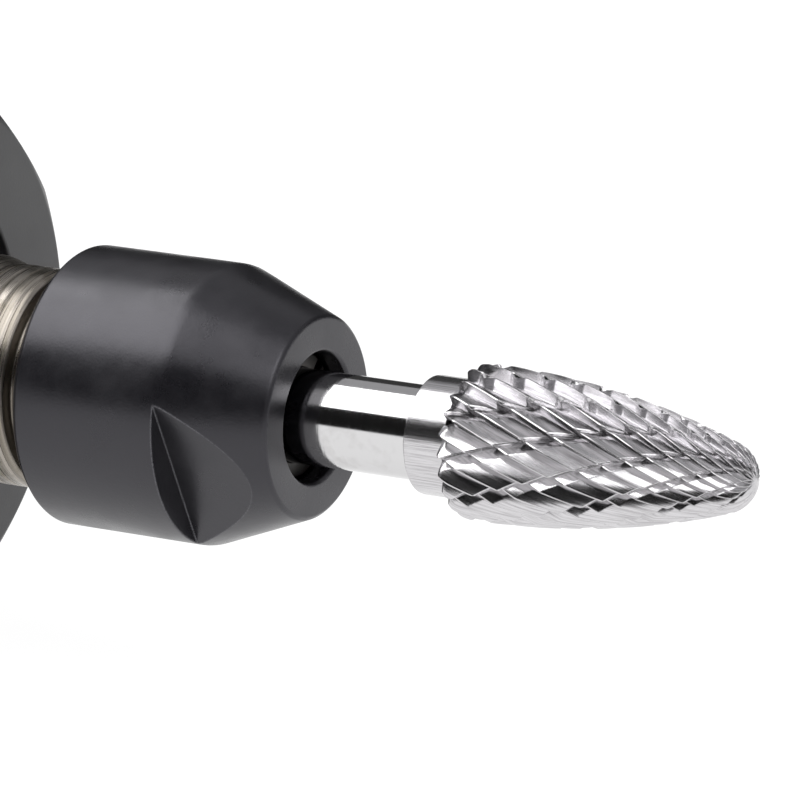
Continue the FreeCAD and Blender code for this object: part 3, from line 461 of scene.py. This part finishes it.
def round_axis(x, radius, angle):
    """The point at a station, a radius and an angle about the X axis, in metres."""
    return (x * MM, radius * math.cos(angle) * MM, radius * math.sin(angle) * MM)


def tidy(mesh, merge=0.0005):
    """Welds points that lie together, and turns all faces outwards."""
    work = bmesh.new()
    work.from_mesh(mesh)
    bmesh.ops.remove_doubles(work, verts=work.verts, dist=merge * MM)
    bmesh.ops.dissolve_degenerate(work, dist=0.2 * merge * MM, edges=work.edges)
    bmesh.ops.recalc_face_normals(work, faces=work.faces)
    work.to_mesh(mesh)
    work.free()


def piece(name, mesh, body, slot, replaced, crease=12.0):
    """A finished piece: shaded smooth up to the crease angle, with its slot's finish."""
    made = bpy.data.objects.new(name, mesh)
    bpy.context.scene.collection.objects.link(made)
    mesh.polygons.foreach_set("use_smooth", [True] * len(mesh.polygons))
    mesh.set_sharp_from_angle(angle=math.radians(crease))
    mesh.materials.clear()
    mesh.materials.append(looks[slot])
    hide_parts(replaced)
    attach(made, body)
    return made


def block(angle, start, end, low, high):
    """Cutter between two stations, from its low to its high corner across the axis, turned by the angle."""
    turn = Matrix.Rotation(math.radians(angle), 3, "X")
    points = []
    for x in (start, end):
        for y, z in (low, (high[0], low[1]), high, (low[0], high[1])):
            points.append(turn @ Vector((x, y, z)) * MM)
    faces = [(0, 3, 2, 1), (4, 5, 6, 7), (0, 1, 5, 4), (1, 2, 6, 5), (2, 3, 7, 6), (3, 0, 4, 7)]
    return new_mesh("cutter", points, faces)


def flat_block(distance, angle, start, end):
    """Cutter that leaves a flat at this distance from the axis."""
    reach = 30.0
    return block(angle, start, end, (distance, -reach), (reach, reach))


def slot_block(width, angle, start, end):
    """Cutter for a slot of this width right across the axis."""
    reach = 10.0
    return block(angle, start, end, (-reach, -width / 2.0), (reach, width / 2.0))


def cut(mesh, cutters):
    """The mesh with every cutter taken out of it."""
    scene = bpy.context.scene.collection.objects
    work = bpy.data.objects.new("work", mesh)
    scene.link(work)
    tools = []
    for cutter in cutters:
        tool = bpy.data.objects.new("tool", cutter)
        scene.link(tool)
        tools.append(tool)
        step = work.modifiers.new("cut", "BOOLEAN")
        step.operation = "DIFFERENCE"
        step.solver = "EXACT"
        step.object = tool
    bpy.context.view_layer.update()
    graph = bpy.context.evaluated_depsgraph_get()
    result = bpy.data.meshes.new_from_object(work.evaluated_get(graph))
    result.name = mesh.name
    for extra in [work] + tools:
        bpy.data.objects.remove(extra)
    return result


# ---- Collet nut ----
PAST = 1.0                   # how far a cutter runs past the face it opens
NUT_CONE = NUT_LOW.x + 10.7  # where the cone begins
NUT_FACE_R = 6.3
NUT_HOLE_R = 4.17
NUT_FLAT = 6.95
NUT_FLAT_ANGLE = 208.0


def make_nut():
    """Round nut with a soft shoulder, a crisp face and two flats on its cone."""
    low, high = NUT_LOW.x, NUT_HIGH.x
    chamfer, thread_r, relief_r, ring_r, seat_r = 0.4, 6.5, 6.75, 6.0, 5.35
    outline = rounded([
        (low, thread_r, 0.15), (low, NUT_R - chamfer, 0.12), (low + chamfer, NUT_R, 0.15),
        (NUT_CONE, NUT_R, 0.4), (high - 0.2, NUT_FACE_R + 0.23, 0.08), (high, NUT_FACE_R, 0.06),
        (high, NUT_HOLE_R + 0.15, 0.08), (high - 0.2, NUT_HOLE_R, 0.08), (high - 1.3, NUT_HOLE_R, 0.1),
        (high - 3.3, seat_r, 0.1), (high - 3.5, ring_r, 0.1), (high - 4.6, ring_r, 0.1),
        (high - 4.6, relief_r, 0.1), (high - 6.0, relief_r, 0.1), (high - 6.0, thread_r, 0.1)])
    flats = []
    for side in (0.0, 180.0):
        flats.append(flat_block(NUT_FLAT, NUT_FLAT_ANGLE + side, NUT_CONE - 0.25, high + PAST))
    mesh = cut(turned("nut_finish", outline), flats)
    tidy(mesh)
    return piece("nut_finish", mesh, "nut", "black_oxide_steel", "collet_nut")


# ---- Collet, spindle nose and shank ----
COLLET_SLOT = 0.8            # width of each slot
COLLET_SLOT_LENGTH = 14.5
SPINDLE_WRENCH = SPINDLE_LOW.x + 21.0
SPINDLE_WRENCH_LENGTH = 3.0
SPINDLE_COLLAR = SPINDLE_LOW.x + 27.9
SPINDLE_COLLAR_END = SPINDLE_LOW.x + 32.0
GROOVE_PITCH = 0.95
GROOVE_DEPTH = 0.09
THREAD_PITCH = 1.0
THREAD_LENGTH = 12.2


def make_collet():
    """The collet's front, with its four slots."""
    high = COLLET_HIGH.x
    bore, tail_r, shoulder_r, groove_r, rim_r, nose_r = SHANK_R + 0.02, 4.3, 5.5, 4.75, 5.3, 4.05
    outline = rounded([
        (COLLET_LOW.x, bore, 0.1), (COLLET_LOW.x, tail_r, 0.2), (high - 9.5, tail_r, 0.5),
        (high - 3.3, shoulder_r, 0.2), (high - 2.9, shoulder_r, 0.1), (high - 2.9, groove_r, 0.1),
        (high - 2.2, groove_r, 0.1), (high - 2.2, rim_r, 0.1), (high - 1.9, rim_r, 0.2), (high, nose_r, 0.15),
        (high, bore, 0.1)])
    slots = []
    for angle in (45.0, 135.0):
        slots.append(slot_block(COLLET_SLOT, angle, high - COLLET_SLOT_LENGTH, high + PAST))
    mesh = cut(turned("collet_finish", outline, 128), slots)
    tidy(mesh)
    return piece("collet_finish", mesh, "collet", "hardened_steel", "collet")


def spindle_grooves(collar_r):
    """Corners of the collar's fine turned grooves."""
    corners = []
    groove = SPINDLE_COLLAR + 0.5
    while groove < SPINDLE_COLLAR_END - 0.6:
        corners += [(groove, collar_r, 0.04), (groove + 0.12, collar_r - GROOVE_DEPTH, 0.06),
                    (groove + 0.24, collar_r, 0.04)]
        groove += GROOVE_PITCH
    return corners


def spindle_thread(thread_r, root_r):
    """Corners of the thread's ridges."""
    corners = []
    ridge = SPINDLE_HIGH.x - THREAD_LENGTH
    while ridge < SPINDLE_HIGH.x - 1.0:
        corners += [(ridge, thread_r, 0.03), (ridge + 0.25 * THREAD_PITCH, thread_r, 0.03),
                    (ridge + 0.6 * THREAD_PITCH, root_r, 0.05)]
        ridge += THREAD_PITCH
    return corners


def make_spindle():
    """Hollow spindle nose: neck, wrench section, collar with fine turned grooves, undercut and thread."""
    low, high = SPINDLE_LOW.x, SPINDLE_HIGH.x
    wrench, wrench_end = SPINDLE_WRENCH, SPINDLE_WRENCH + SPINDLE_WRENCH_LENGTH
    bearing_r, neck_r, wrench_r, collar_r, root_r, thread_r = 8.0, 7.5, 8.2, 7.1, 6.1, 6.42
    socket_r, mouth_r, bore_r, shank_bore_r = 5.0, 5.53, 4.35, 3.2
    corners = [
        (low, socket_r, 0.1), (low, bearing_r, 0.3), (low + 12.0, bearing_r, 0.2), (low + 12.5, neck_r, 0.2),
        (wrench, neck_r, 0.1), (wrench, wrench_r, 0.3), (wrench_end, wrench_r, 0.3),
        (wrench_end, neck_r, 0.1), (SPINDLE_COLLAR - 1.4, neck_r, 0.2), (SPINDLE_COLLAR, collar_r, 0.1)]
    corners += spindle_grooves(collar_r)
    corners += [
        (SPINDLE_COLLAR_END - 0.25, collar_r, 0.1), (SPINDLE_COLLAR_END, collar_r - 0.25, 0.1),
        (SPINDLE_COLLAR_END, root_r, 0.2), (high - 12.5, root_r, 0.1)]
    corners += spindle_thread(thread_r, root_r)
    corners += [
        (high - 0.3, thread_r, 0.1), (high, root_r, 0.1), (high, mouth_r, 0.1), (high - 6.1, bore_r, 0.3),
        (high - 16.5, bore_r, 0.2), (high - 17.0, shank_bore_r, 0.2), (high - 33.0, shank_bore_r, 0.5),
        (high - 34.8, 0.0, 0.0), (low + 8.0, 0.0, 0.0), (low + 8.0, socket_r, 0.1)]
    mesh = turned("spindle_finish", rounded(corners), 192)
    flats = [flat_block(7.0, angle, wrench - 0.01, wrench_end) for angle in (90.0, 270.0)]
    mesh = cut(mesh, flats)
    tidy(mesh)
    return piece("spindle_finish", mesh, "spindle", "turned_steel", "collet_body", 25.0)


def make_shank():
    """Ground shank with its chamfered end."""
    low, high = SHANK_LOW.x, SHANK_HIGH.x
    outline = rounded([(low, 0.0, 0.0), (low, SHANK_R - 0.4, 0.05), (low + 0.4, SHANK_R, 0.05),
                       (high, SHANK_R, 0.02), (high, 0.0, 0.0)])
    mesh = turned("shank_finish", outline)
    tidy(mesh)
    return piece("shank_finish", mesh, "burr", "polished_shank", "burr_shank", 20.0)


# ---- Valve spring ----
SPRING_LOW, SPRING_HIGH = (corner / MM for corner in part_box("valve_spring"))
SPRING_WIRE_R = 0.42
SPRING_TURNS = 5


def spring_mesh():
    """A wire wound round an upright axis."""
    steps, sides = 240, 16
    middle = (SPRING_LOW + SPRING_HIGH) / 2.0
    radius = (SPRING_HIGH.y - SPRING_LOW.y) / 2.0 - SPRING_WIRE_R
    rise = SPRING_HIGH.z - SPRING_LOW.z - 2.0 * SPRING_WIRE_R
    slope = rise / (2.0 * math.pi * radius * SPRING_TURNS)
    points, faces = [], []
    for i in range(steps + 1):
        angle = 2.0 * math.pi * SPRING_TURNS * i / steps
        outward = Vector((math.cos(angle), math.sin(angle), 0.0))
        along = Vector((-math.sin(angle), math.cos(angle), slope)).normalized()
        height = SPRING_LOW.z + SPRING_WIRE_R + rise * i / steps
        centre = Vector((middle.x, middle.y, height)) + outward * radius
        across = along.cross(outward)
        for k in range(sides):
            turn = 2.0 * math.pi * k / sides
            offset = (outward * math.cos(turn) + across * math.sin(turn)) * SPRING_WIRE_R
            points.append((centre + offset) * MM)
    for i in range(steps):
        faces += ring_faces(i * sides, (i + 1) * sides, sides)
    faces.append(list(range(sides)))
    faces.append([steps * sides + k for k in range(sides)])
    return new_mesh("spring_finish", points, faces)


def make_spring():
    """The throttle valve's coil spring, with its own copy of the mesh."""
    mesh = spring_mesh()
    tidy(mesh)
    spring = piece("spring_finish", mesh, "housing", "spring_steel", "valve_spring", 40.0)
    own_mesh(spring)


# ---- Burr head ----
TEETH = 22
BREAKERS = 10
TOOTH_STEPS = 15             # grid columns to a tooth
TOOTH_HELIX = math.radians(22.0)
BREAKER_HELIX = math.radians(20.0)
HELIX_GROWTH = 1.25          # how fast both helices steepen as the head narrows
TOOTH_PHASE = math.radians(180.5)
BREAKER_PHASE = math.radians(182.5)
TOOTH_DEPTH = 0.187          # as a share of the radius
BREAKER_DEPTH = 0.075
BREAKER_WALL = 0.03          # the steep side and the whole of a breaker, as shares of the breakers' pitch
BREAKER_WIDTH = 0.28
LAND = 0.07                  # narrow land behind each cutting edge, as a share of the tooth's pitch
RAKE = 0.09                  # steep face in front of the next tooth's edge
NECK_LENGTH = 3.2
NECK_R = 3.75
TIP_R = 2.3
TEETH_START = HEAD_LOW.x + NECK_LENGTH


def head_envelope(x, radius):
    """Radius of the head's outline at a station: a straight shoulder, a long arc and a round tip."""
    arc_start = TEETH_START + 1.2
    tip_centre = HEAD_HIGH.x - TIP_R
    run = tip_centre - arc_start
    arc = (run * run / (radius - TIP_R) + radius + TIP_R) / 2.0
    if x < arc_start:
        return radius
    if x < arc_start + run * arc / (arc - TIP_R):
        return radius - arc + math.sqrt(arc * arc - (x - arc_start) ** 2)
    return math.sqrt(max(TIP_R * TIP_R - (x - tip_centre) ** 2, 0.0))


def head_stations(radius):
    """Stations along the head at which both helices have turned by one more grid column between them."""
    step = 2.0 * math.pi / (TEETH * TOOTH_STEPS)
    speed = math.tan(TOOTH_HELIX) + math.tan(BREAKER_HELIX)
    fine, last_gap, least_r = 0.002, 0.012, 0.2
    x = TEETH_START
    stations, turned_by, phase, done = [(x, 0.0)], 0.0, 0.0, 0
    while x < HEAD_HIGH.x - last_gap:
        r = max(head_envelope(x, radius), least_r)
        growth = (radius / r) ** HELIX_GROWTH / radius
        turned_by += speed * growth * fine
        phase += math.tan(TOOTH_HELIX) * growth * fine
        x += fine
        if turned_by >= (done + 1) * step:
            done += 1
            stations.append((x, phase))
    return stations, step


def tooth_fall(place):
    """How far a tooth has fallen below its edge, as a share of its depth: land, long back and steep rake."""
    if place > 1.0 - RAKE:
        return (1.0 - place) / RAKE
    return max(0.0, (place - LAND) / (1.0 - RAKE - LAND))


def breaker_fall(place):
    """How deep a chip breaker is across its pitch, as a share of its depth: a steep wall and a long ramp."""
    return min(1.0, max(0.0, min(place / BREAKER_WALL, 1.0 - place / BREAKER_WIDTH)))


def burr_mesh():
    """Points, faces and texture places of the teeth, on a grid whose columns follow them."""
    radius = HEAD_HIGH.y
    stations, step = head_stations(radius)
    columns = TEETH * TOOTH_STEPS
    points, faces, places = [], [], []
    for row, (x, phase) in enumerate(stations):
        r = head_envelope(x, radius)
        depth, notch = TOOTH_DEPTH * r, BREAKER_DEPTH * r
        front = max(0.0, 1.0 - (x - TEETH_START) / 0.9)
        bevel = 0.12 * front + 0.25 * front ** 4
        for column in range(columns):
            angle = TOOTH_PHASE + phase - column * step
            fall = tooth_fall((column % TOOTH_STEPS) / TOOTH_STEPS)
            across = (TOOTH_PHASE - BREAKER_PHASE + (row - column) * step) * BREAKERS / (2.0 * math.pi) % 1.0
            h = r - depth * fall - notch * breaker_fall(across) - bevel
            points.append(round_axis(x, h, angle))
            places.append((column / TOOTH_STEPS, x - TEETH_START))
    for row in range(len(stations) - 1):
        for column in range(columns):
            a, b = row * columns + column, row * columns + (column + 1) % columns
            faces.append((a, b + columns, a + columns))
            faces.append((a, b, b + columns))
    return points, faces, places, columns


def close_burr(points, faces, places, columns):
    """Adds the rounded tip's last point and the plain neck behind the teeth."""
    start, low = TEETH_START, HEAD_LOW.x
    last = len(points) - columns
    tip = len(points)
    points.append((HEAD_HIGH.x * MM, 0.0, 0.0))
    places.append((0.0, HEAD_HIGH.x - start))
    for column in range(columns):
        faces.append((last + column, last + (column + 1) % columns, tip))
    neck = [(start, NECK_R + 0.15), (start - 0.06, NECK_R + 0.02), (start - 0.16, NECK_R),
            (low + 0.55, NECK_R), (low + 0.45, NECK_R - 0.02), (low + 0.38, NECK_R - 0.1),
            (low + 0.05, SHANK_R + 0.06), (low, SHANK_R)]
    before = 0
    for x, r in neck:
        ring = len(points)
        for column in range(columns):
            points.append(round_axis(x, r, TOOTH_PHASE - column * 2.0 * math.pi / columns))
            places.append((column / TOOTH_STEPS, x - start))
        faces += ring_faces(ring, before, columns)
        before = ring
    faces.append([before + column for column in range(columns)])


def make_burr():
    """Double-cut head: saw-toothed right-hand flutes crossed by left-hand chip breakers."""
    points, faces, places, columns = burr_mesh()
    close_burr(points, faces, places, columns)
    mesh = new_mesh("burr_teeth", points, faces)
    layer = mesh.uv_layers.new(name=TEETH_MAP)
    for loop in mesh.loops:
        layer.data[loop.index].uv = places[loop.vertex_index]
    tidy(mesh, 0.00001)
    return piece("burr_teeth", mesh, "burr", "ground_carbide", "burr_head", 24.0)


# ---- Front cap ----
CAP_R = 18.0
CAP_THREAD_R = 17.15
CAP_SEAT_R = 13.0
CAP_BORE_R = 8.6
CAP_GROOVE_R = 11.5          # felt groove
CAP_RECESS_R = 11.9
CAP_RECESS_DEPTH = 11.0
CAP_RIM_R = 17.2             # the rim's outer edge is chamfered down to this radius
CAP_RIM_DEPTH = 0.46
CAP_FLAT = 17.36
CAP_FLATS = 12
CAP_FLAT_ANGLE = 12.8
CAP_FLAT_LENGTH = 7.0


def make_cap():
    """Nose cap with a twelve-sided rim round an open recess."""
    low, high = CAP_LOW.x, CAP_HIGH.x
    body = low + 7.0
    floor = high - CAP_RECESS_DEPTH
    outline = rounded([
        (low, CAP_SEAT_R, 0.1), (low, CAP_THREAD_R - 0.5, 0.1), (low + 0.5, CAP_THREAD_R, 0.1),
        (body, CAP_THREAD_R, 0.05), (body, CAP_R - 0.4, 0.1), (body + 0.4, CAP_R, 0.15),
        (high - CAP_RIM_DEPTH, CAP_R, 0.1), (high, CAP_RIM_R, 0.1), (high, CAP_RECESS_R + 0.1, 0.04),
        (high - 0.1, CAP_RECESS_R, 0.04), (floor, CAP_RECESS_R, 0.6), (floor, CAP_BORE_R, 0.1),
        (floor - 1.5, CAP_BORE_R, 0.1), (floor - 1.5, CAP_GROOVE_R, 0.1), (floor - 5.5, CAP_GROOVE_R, 0.1),
        (floor - 5.5, CAP_BORE_R, 0.1), (low + 2.0, CAP_BORE_R, 0.1), (low + 2.0, CAP_SEAT_R, 0.1)])
    flats = []
    for i in range(CAP_FLATS):
        angle = CAP_FLAT_ANGLE + 360.0 * i / CAP_FLATS
        flats.append(flat_block(CAP_FLAT, angle, high - CAP_FLAT_LENGTH, high + PAST))
    mesh = cut(turned("cap_finish_piece", outline), flats)
    tidy(mesh)
    return piece("cap_finish_piece", mesh, "housing", "cap_finish", "front_cap")


# ---- Grip sleeve ----
GRIP_START, GRIP_END = GRIP_LOW.x, GRIP_HIGH.x
GRIP_CORNER_R = 21.5
GRIP_INNER_R = 19.0
GRIP_BLEND = 6.0             # how sharply a flat turns into a corner
GRIP_EDGE = 1.4              # rolled ends
TREAD_MARGIN = 5.0           # plain band at each end
TREAD_FADE = 1.0
TREAD_DEPTH = 0.45
TREAD_LEAD = 4.6             # length along the sleeve in which a groove moves on by its own spacing
TREAD_COUNT = 28
GROOVE_HALF = 0.17           # half the groove's width and its sloping side, as shares of the spacing
GROOVE_SIDE = 0.08


def grip_radius(angle, x):
    """Outer radius of the sleeve without its tread: six soft-edged flats and rolled ends."""
    side = (angle - math.pi / 2.0 + math.pi / 6.0) % (math.pi / 3.0) - math.pi / 6.0
    flat = GRIP_FLAT / math.cos(side)
    radius = -math.log(math.exp(-GRIP_BLEND * flat) + math.exp(-GRIP_BLEND * GRIP_CORNER_R)) / GRIP_BLEND
    inset = min(x - GRIP_START, GRIP_END - x)
    if inset < GRIP_EDGE:
        radius -= GRIP_EDGE - math.sqrt(max(GRIP_EDGE * GRIP_EDGE - (GRIP_EDGE - inset) ** 2, 0.0))
    return radius


def grip_tread(angle, x):
    """Depth of the cross-cut grooves between the lozenges, which leave the ends plain."""
    near = min(x - GRIP_START, GRIP_END - x) - TREAD_MARGIN
    if near <= 0.0:
        return 0.0
    turns = angle * TREAD_COUNT / (2.0 * math.pi)
    along = (x - GRIP_START) / TREAD_LEAD
    groove = 0.0
    for phase in (turns + along, turns - along):
        off = abs((phase + 0.5) % 1.0 - 0.5)
        groove = max(groove, min(1.0, max(0.0, (GROOVE_HALF - off) / GROOVE_SIDE)))
    return TREAD_DEPTH * groove * min(1.0, near / TREAD_FADE)


def make_grip():
    """Rubber sleeve, closed inside and out."""
    columns, rows = 448, 190
    turns = [2.0 * math.pi * column / columns for column in range(columns)]
    points, faces = [], []
    for row in range(rows + 1):
        x = GRIP_START + (GRIP_END - GRIP_START) * row / rows
        for angle in turns:
            r = max(grip_radius(angle, x) - grip_tread(angle, x), GRIP_INNER_R + 0.02)
            points.append(round_axis(x, r, angle))
    for x in (GRIP_END, GRIP_START):
        points += [round_axis(x, GRIP_INNER_R, angle) for angle in turns]
    rings = rows + 3
    for row in range(rings):
        faces += ring_faces(row * columns, (row + 1) % rings * columns, columns)
    mesh = new_mesh("grip_tread", points, faces)
    tidy(mesh)
    return piece("grip_tread", mesh, "housing", "grip_rubber", "grip_sleeve", 40.0)


# ---- Stage, in metres ----
FLOOR_HALF = 30.0
FLOOR_COLOUR = 0.12
FLOOR_GLOW = 0.965
DOME_RADIUS = 25.0
DOME_LOW = -10.0             # degrees
CARD_RADIUS = 1.6
CARD_SWEEP = 160.0           # degrees
SOFTBOX_DISTANCE = 0.9
WORLD_COLOUR = (0.42, 0.42, 0.43, 1.0)
FRONT = -170.0               # where a card's sweep starts, in degrees from the tool's nose
BACK = 10.0


def stage_mesh(name, points, faces, kind, colour):
    """A stage object with one plain shader."""
    mesh = new_mesh(name, points, faces)
    made = bpy.data.objects.new(name, mesh)
    bpy.context.scene.collection.objects.link(made)
    material = bpy.data.materials.new(name)
    material.use_nodes = True
    tree = material.node_tree
    tree.nodes.clear()
    shader = tree.nodes.new(kind)
    shader.inputs["Color"].default_value = (*colour, 1.0)
    tree.links.new(shader.outputs[0], tree.nodes.new("ShaderNodeOutputMaterial").inputs["Surface"])
    mesh.materials.append(material)
    return made


def make_floor():
    """Pale floor that glows a little, so that shadows on it stay faint."""
    half, level = FLOOR_HALF, GRIP_LOW.z * MM
    points = [(-half, -half, level), (half, -half, level), (half, half, level), (-half, half, level)]
    floor = stage_mesh("floor", points, [(0, 1, 2, 3)], "ShaderNodeBsdfDiffuse", (FLOOR_COLOUR,) * 3)
    tree = floor.data.materials[0].node_tree
    glow = tree.nodes.new("ShaderNodeEmission")
    glow.inputs["Strength"].default_value = FLOOR_GLOW
    add = tree.nodes.new("ShaderNodeAddShader")
    tree.links.new(tree.nodes["Diffuse BSDF"].outputs[0], add.inputs[0])
    tree.links.new(glow.outputs[0], add.inputs[1])
    tree.links.new(add.outputs[0], tree.nodes["Material Output"].inputs["Surface"])


def hide_from(piece_of_stage, *kinds):
    """Hides a piece of the stage from these kinds of rays."""
    for kind in kinds:
        setattr(piece_of_stage, "visible_" + kind, False)


def make_backdrop():
    """A pale dome that only the camera sees."""
    points, faces = [], []
    rings, sides = 12, 48
    for i in range(rings + 1):
        lift = math.radians(DOME_LOW + 100.0 * i / rings)
        across, height = DOME_RADIUS * math.cos(lift), DOME_RADIUS * math.sin(lift)
        for j in range(sides):
            turn = 2.0 * math.pi * j / sides
            points.append((across * math.cos(turn), across * math.sin(turn), height))
    for i in range(rings):
        faces += ring_faces(i * sides, (i + 1) * sides, sides)
    dome = stage_mesh("backdrop", points, faces, "ShaderNodeEmission", (1.0, 1.0, 1.0))
    hide_from(dome, "diffuse", "glossy", "transmission", "shadow")


def make_dark_card(name, start, low, high, glow):
    """An unlit side of the studio between two elevations, seen only as a dark band in polished metal."""
    points, faces = [], []
    steps = 40
    for i in range(steps + 1):
        turn = math.radians(start + CARD_SWEEP * i / steps)
        across, away = CARD_RADIUS * math.cos(turn), CARD_RADIUS * math.sin(turn)
        for lift in (low, high):
            points.append((NUT_HIGH.x * MM + across, away, abs(away) * math.tan(math.radians(lift))))
    for i in range(steps):
        faces.append((2 * i, 2 * i + 2, 2 * i + 3, 2 * i + 1))
    card = stage_mesh(name, points, faces, "ShaderNodeEmission", (glow, glow, glow))
    hide_from(card, "camera", "diffuse", "transmission", "shadow")


def make_softbox(name, along, tilt, width, depth, radiance):
    """A large softbox at this place along the tool from its nose, and this many degrees up from the front."""
    data = bpy.data.lights.new(name, "AREA")
    data.shape = "RECTANGLE"
    data.size, data.size_y = width, depth
    data.energy = math.pi * radiance * width * depth
    lamp = bpy.data.objects.new(name, data)
    bpy.context.scene.collection.objects.link(lamp)
    angle = math.radians(tilt)
    away = Vector((0.0, -math.cos(angle), math.sin(angle)))
    lamp.location = Vector((NUT_HIGH.x * MM + along, 0.0, 0.0)) + SOFTBOX_DISTANCE * away
    lamp.rotation_mode = "QUATERNION"
    lamp.rotation_quaternion = away.to_track_quat("Z", "Y")


def make_world():
    """Even grey light from all round."""
    world = bpy.data.worlds.new("studio")
    bpy.context.scene.world = world
    world.use_nodes = True
    world.node_tree.nodes["Background"].inputs["Color"].default_value = WORLD_COLOUR


def make_camera():
    """Close three-quarter view of the nose, from a little above, with the camera rolled half a degree."""
    azimuth, elevation, roll = math.radians(29.3), math.radians(13.83), math.radians(0.5)
    distance, aside, above = 375.65, 5.117, 1.157
    back = Vector((math.sin(azimuth) * math.cos(elevation), -math.cos(azimuth) * math.cos(elevation),
                   math.sin(elevation)))
    right = Vector((math.cos(azimuth), math.sin(azimuth), 0.0))
    up = back.cross(right)
    aim = Vector((NUT_HIGH.x, 0.0, 0.0)) + right * aside + up * above
    data = bpy.data.cameras.new("camera")
    data.lens = 270.0
    data.sensor_width = 36.0
    data.clip_start = 0.01
    data.clip_end = 100.0
    camera = bpy.data.objects.new("camera", data)
    bpy.context.scene.collection.objects.link(camera)
    camera.location = (aim + back * distance) * MM
    camera.rotation_mode = "QUATERNION"
    camera.rotation_quaternion = back.to_track_quat("Z", "Y") @ Quaternion((0.0, 0.0, 1.0), roll)
    bpy.context.scene.camera = camera


def make_stage():
    """Floor, backdrop, lights and the dark sides that polished metal reflects."""
    make_floor()
    make_backdrop()
    make_dark_card("dark_card_front", FRONT, low=1.4, high=45.0, glow=0.012)
    make_dark_card("dark_card_back", BACK, low=2.0, high=38.0, glow=0.05)
    make_softbox("main_softbox", along=-0.78, tilt=66.5, width=1.64, depth=0.71, radiance=3.1)
    make_softbox("rear_softbox", along=-0.6, tilt=98.0, width=0.4, depth=0.33, radiance=3.3)
    make_softbox("nose_softbox", along=0.73, tilt=66.5, width=0.98, depth=0.71, radiance=2.4)
    make_world()


looks = make_looks()
dress(looks)
make_nut()
make_collet()
make_spindle()
make_shank()
make_spring()
make_burr()
make_cap()
make_grip()
make_stage()
make_camera()
bpy.context.scene.view_settings.view_transform = "Standard"
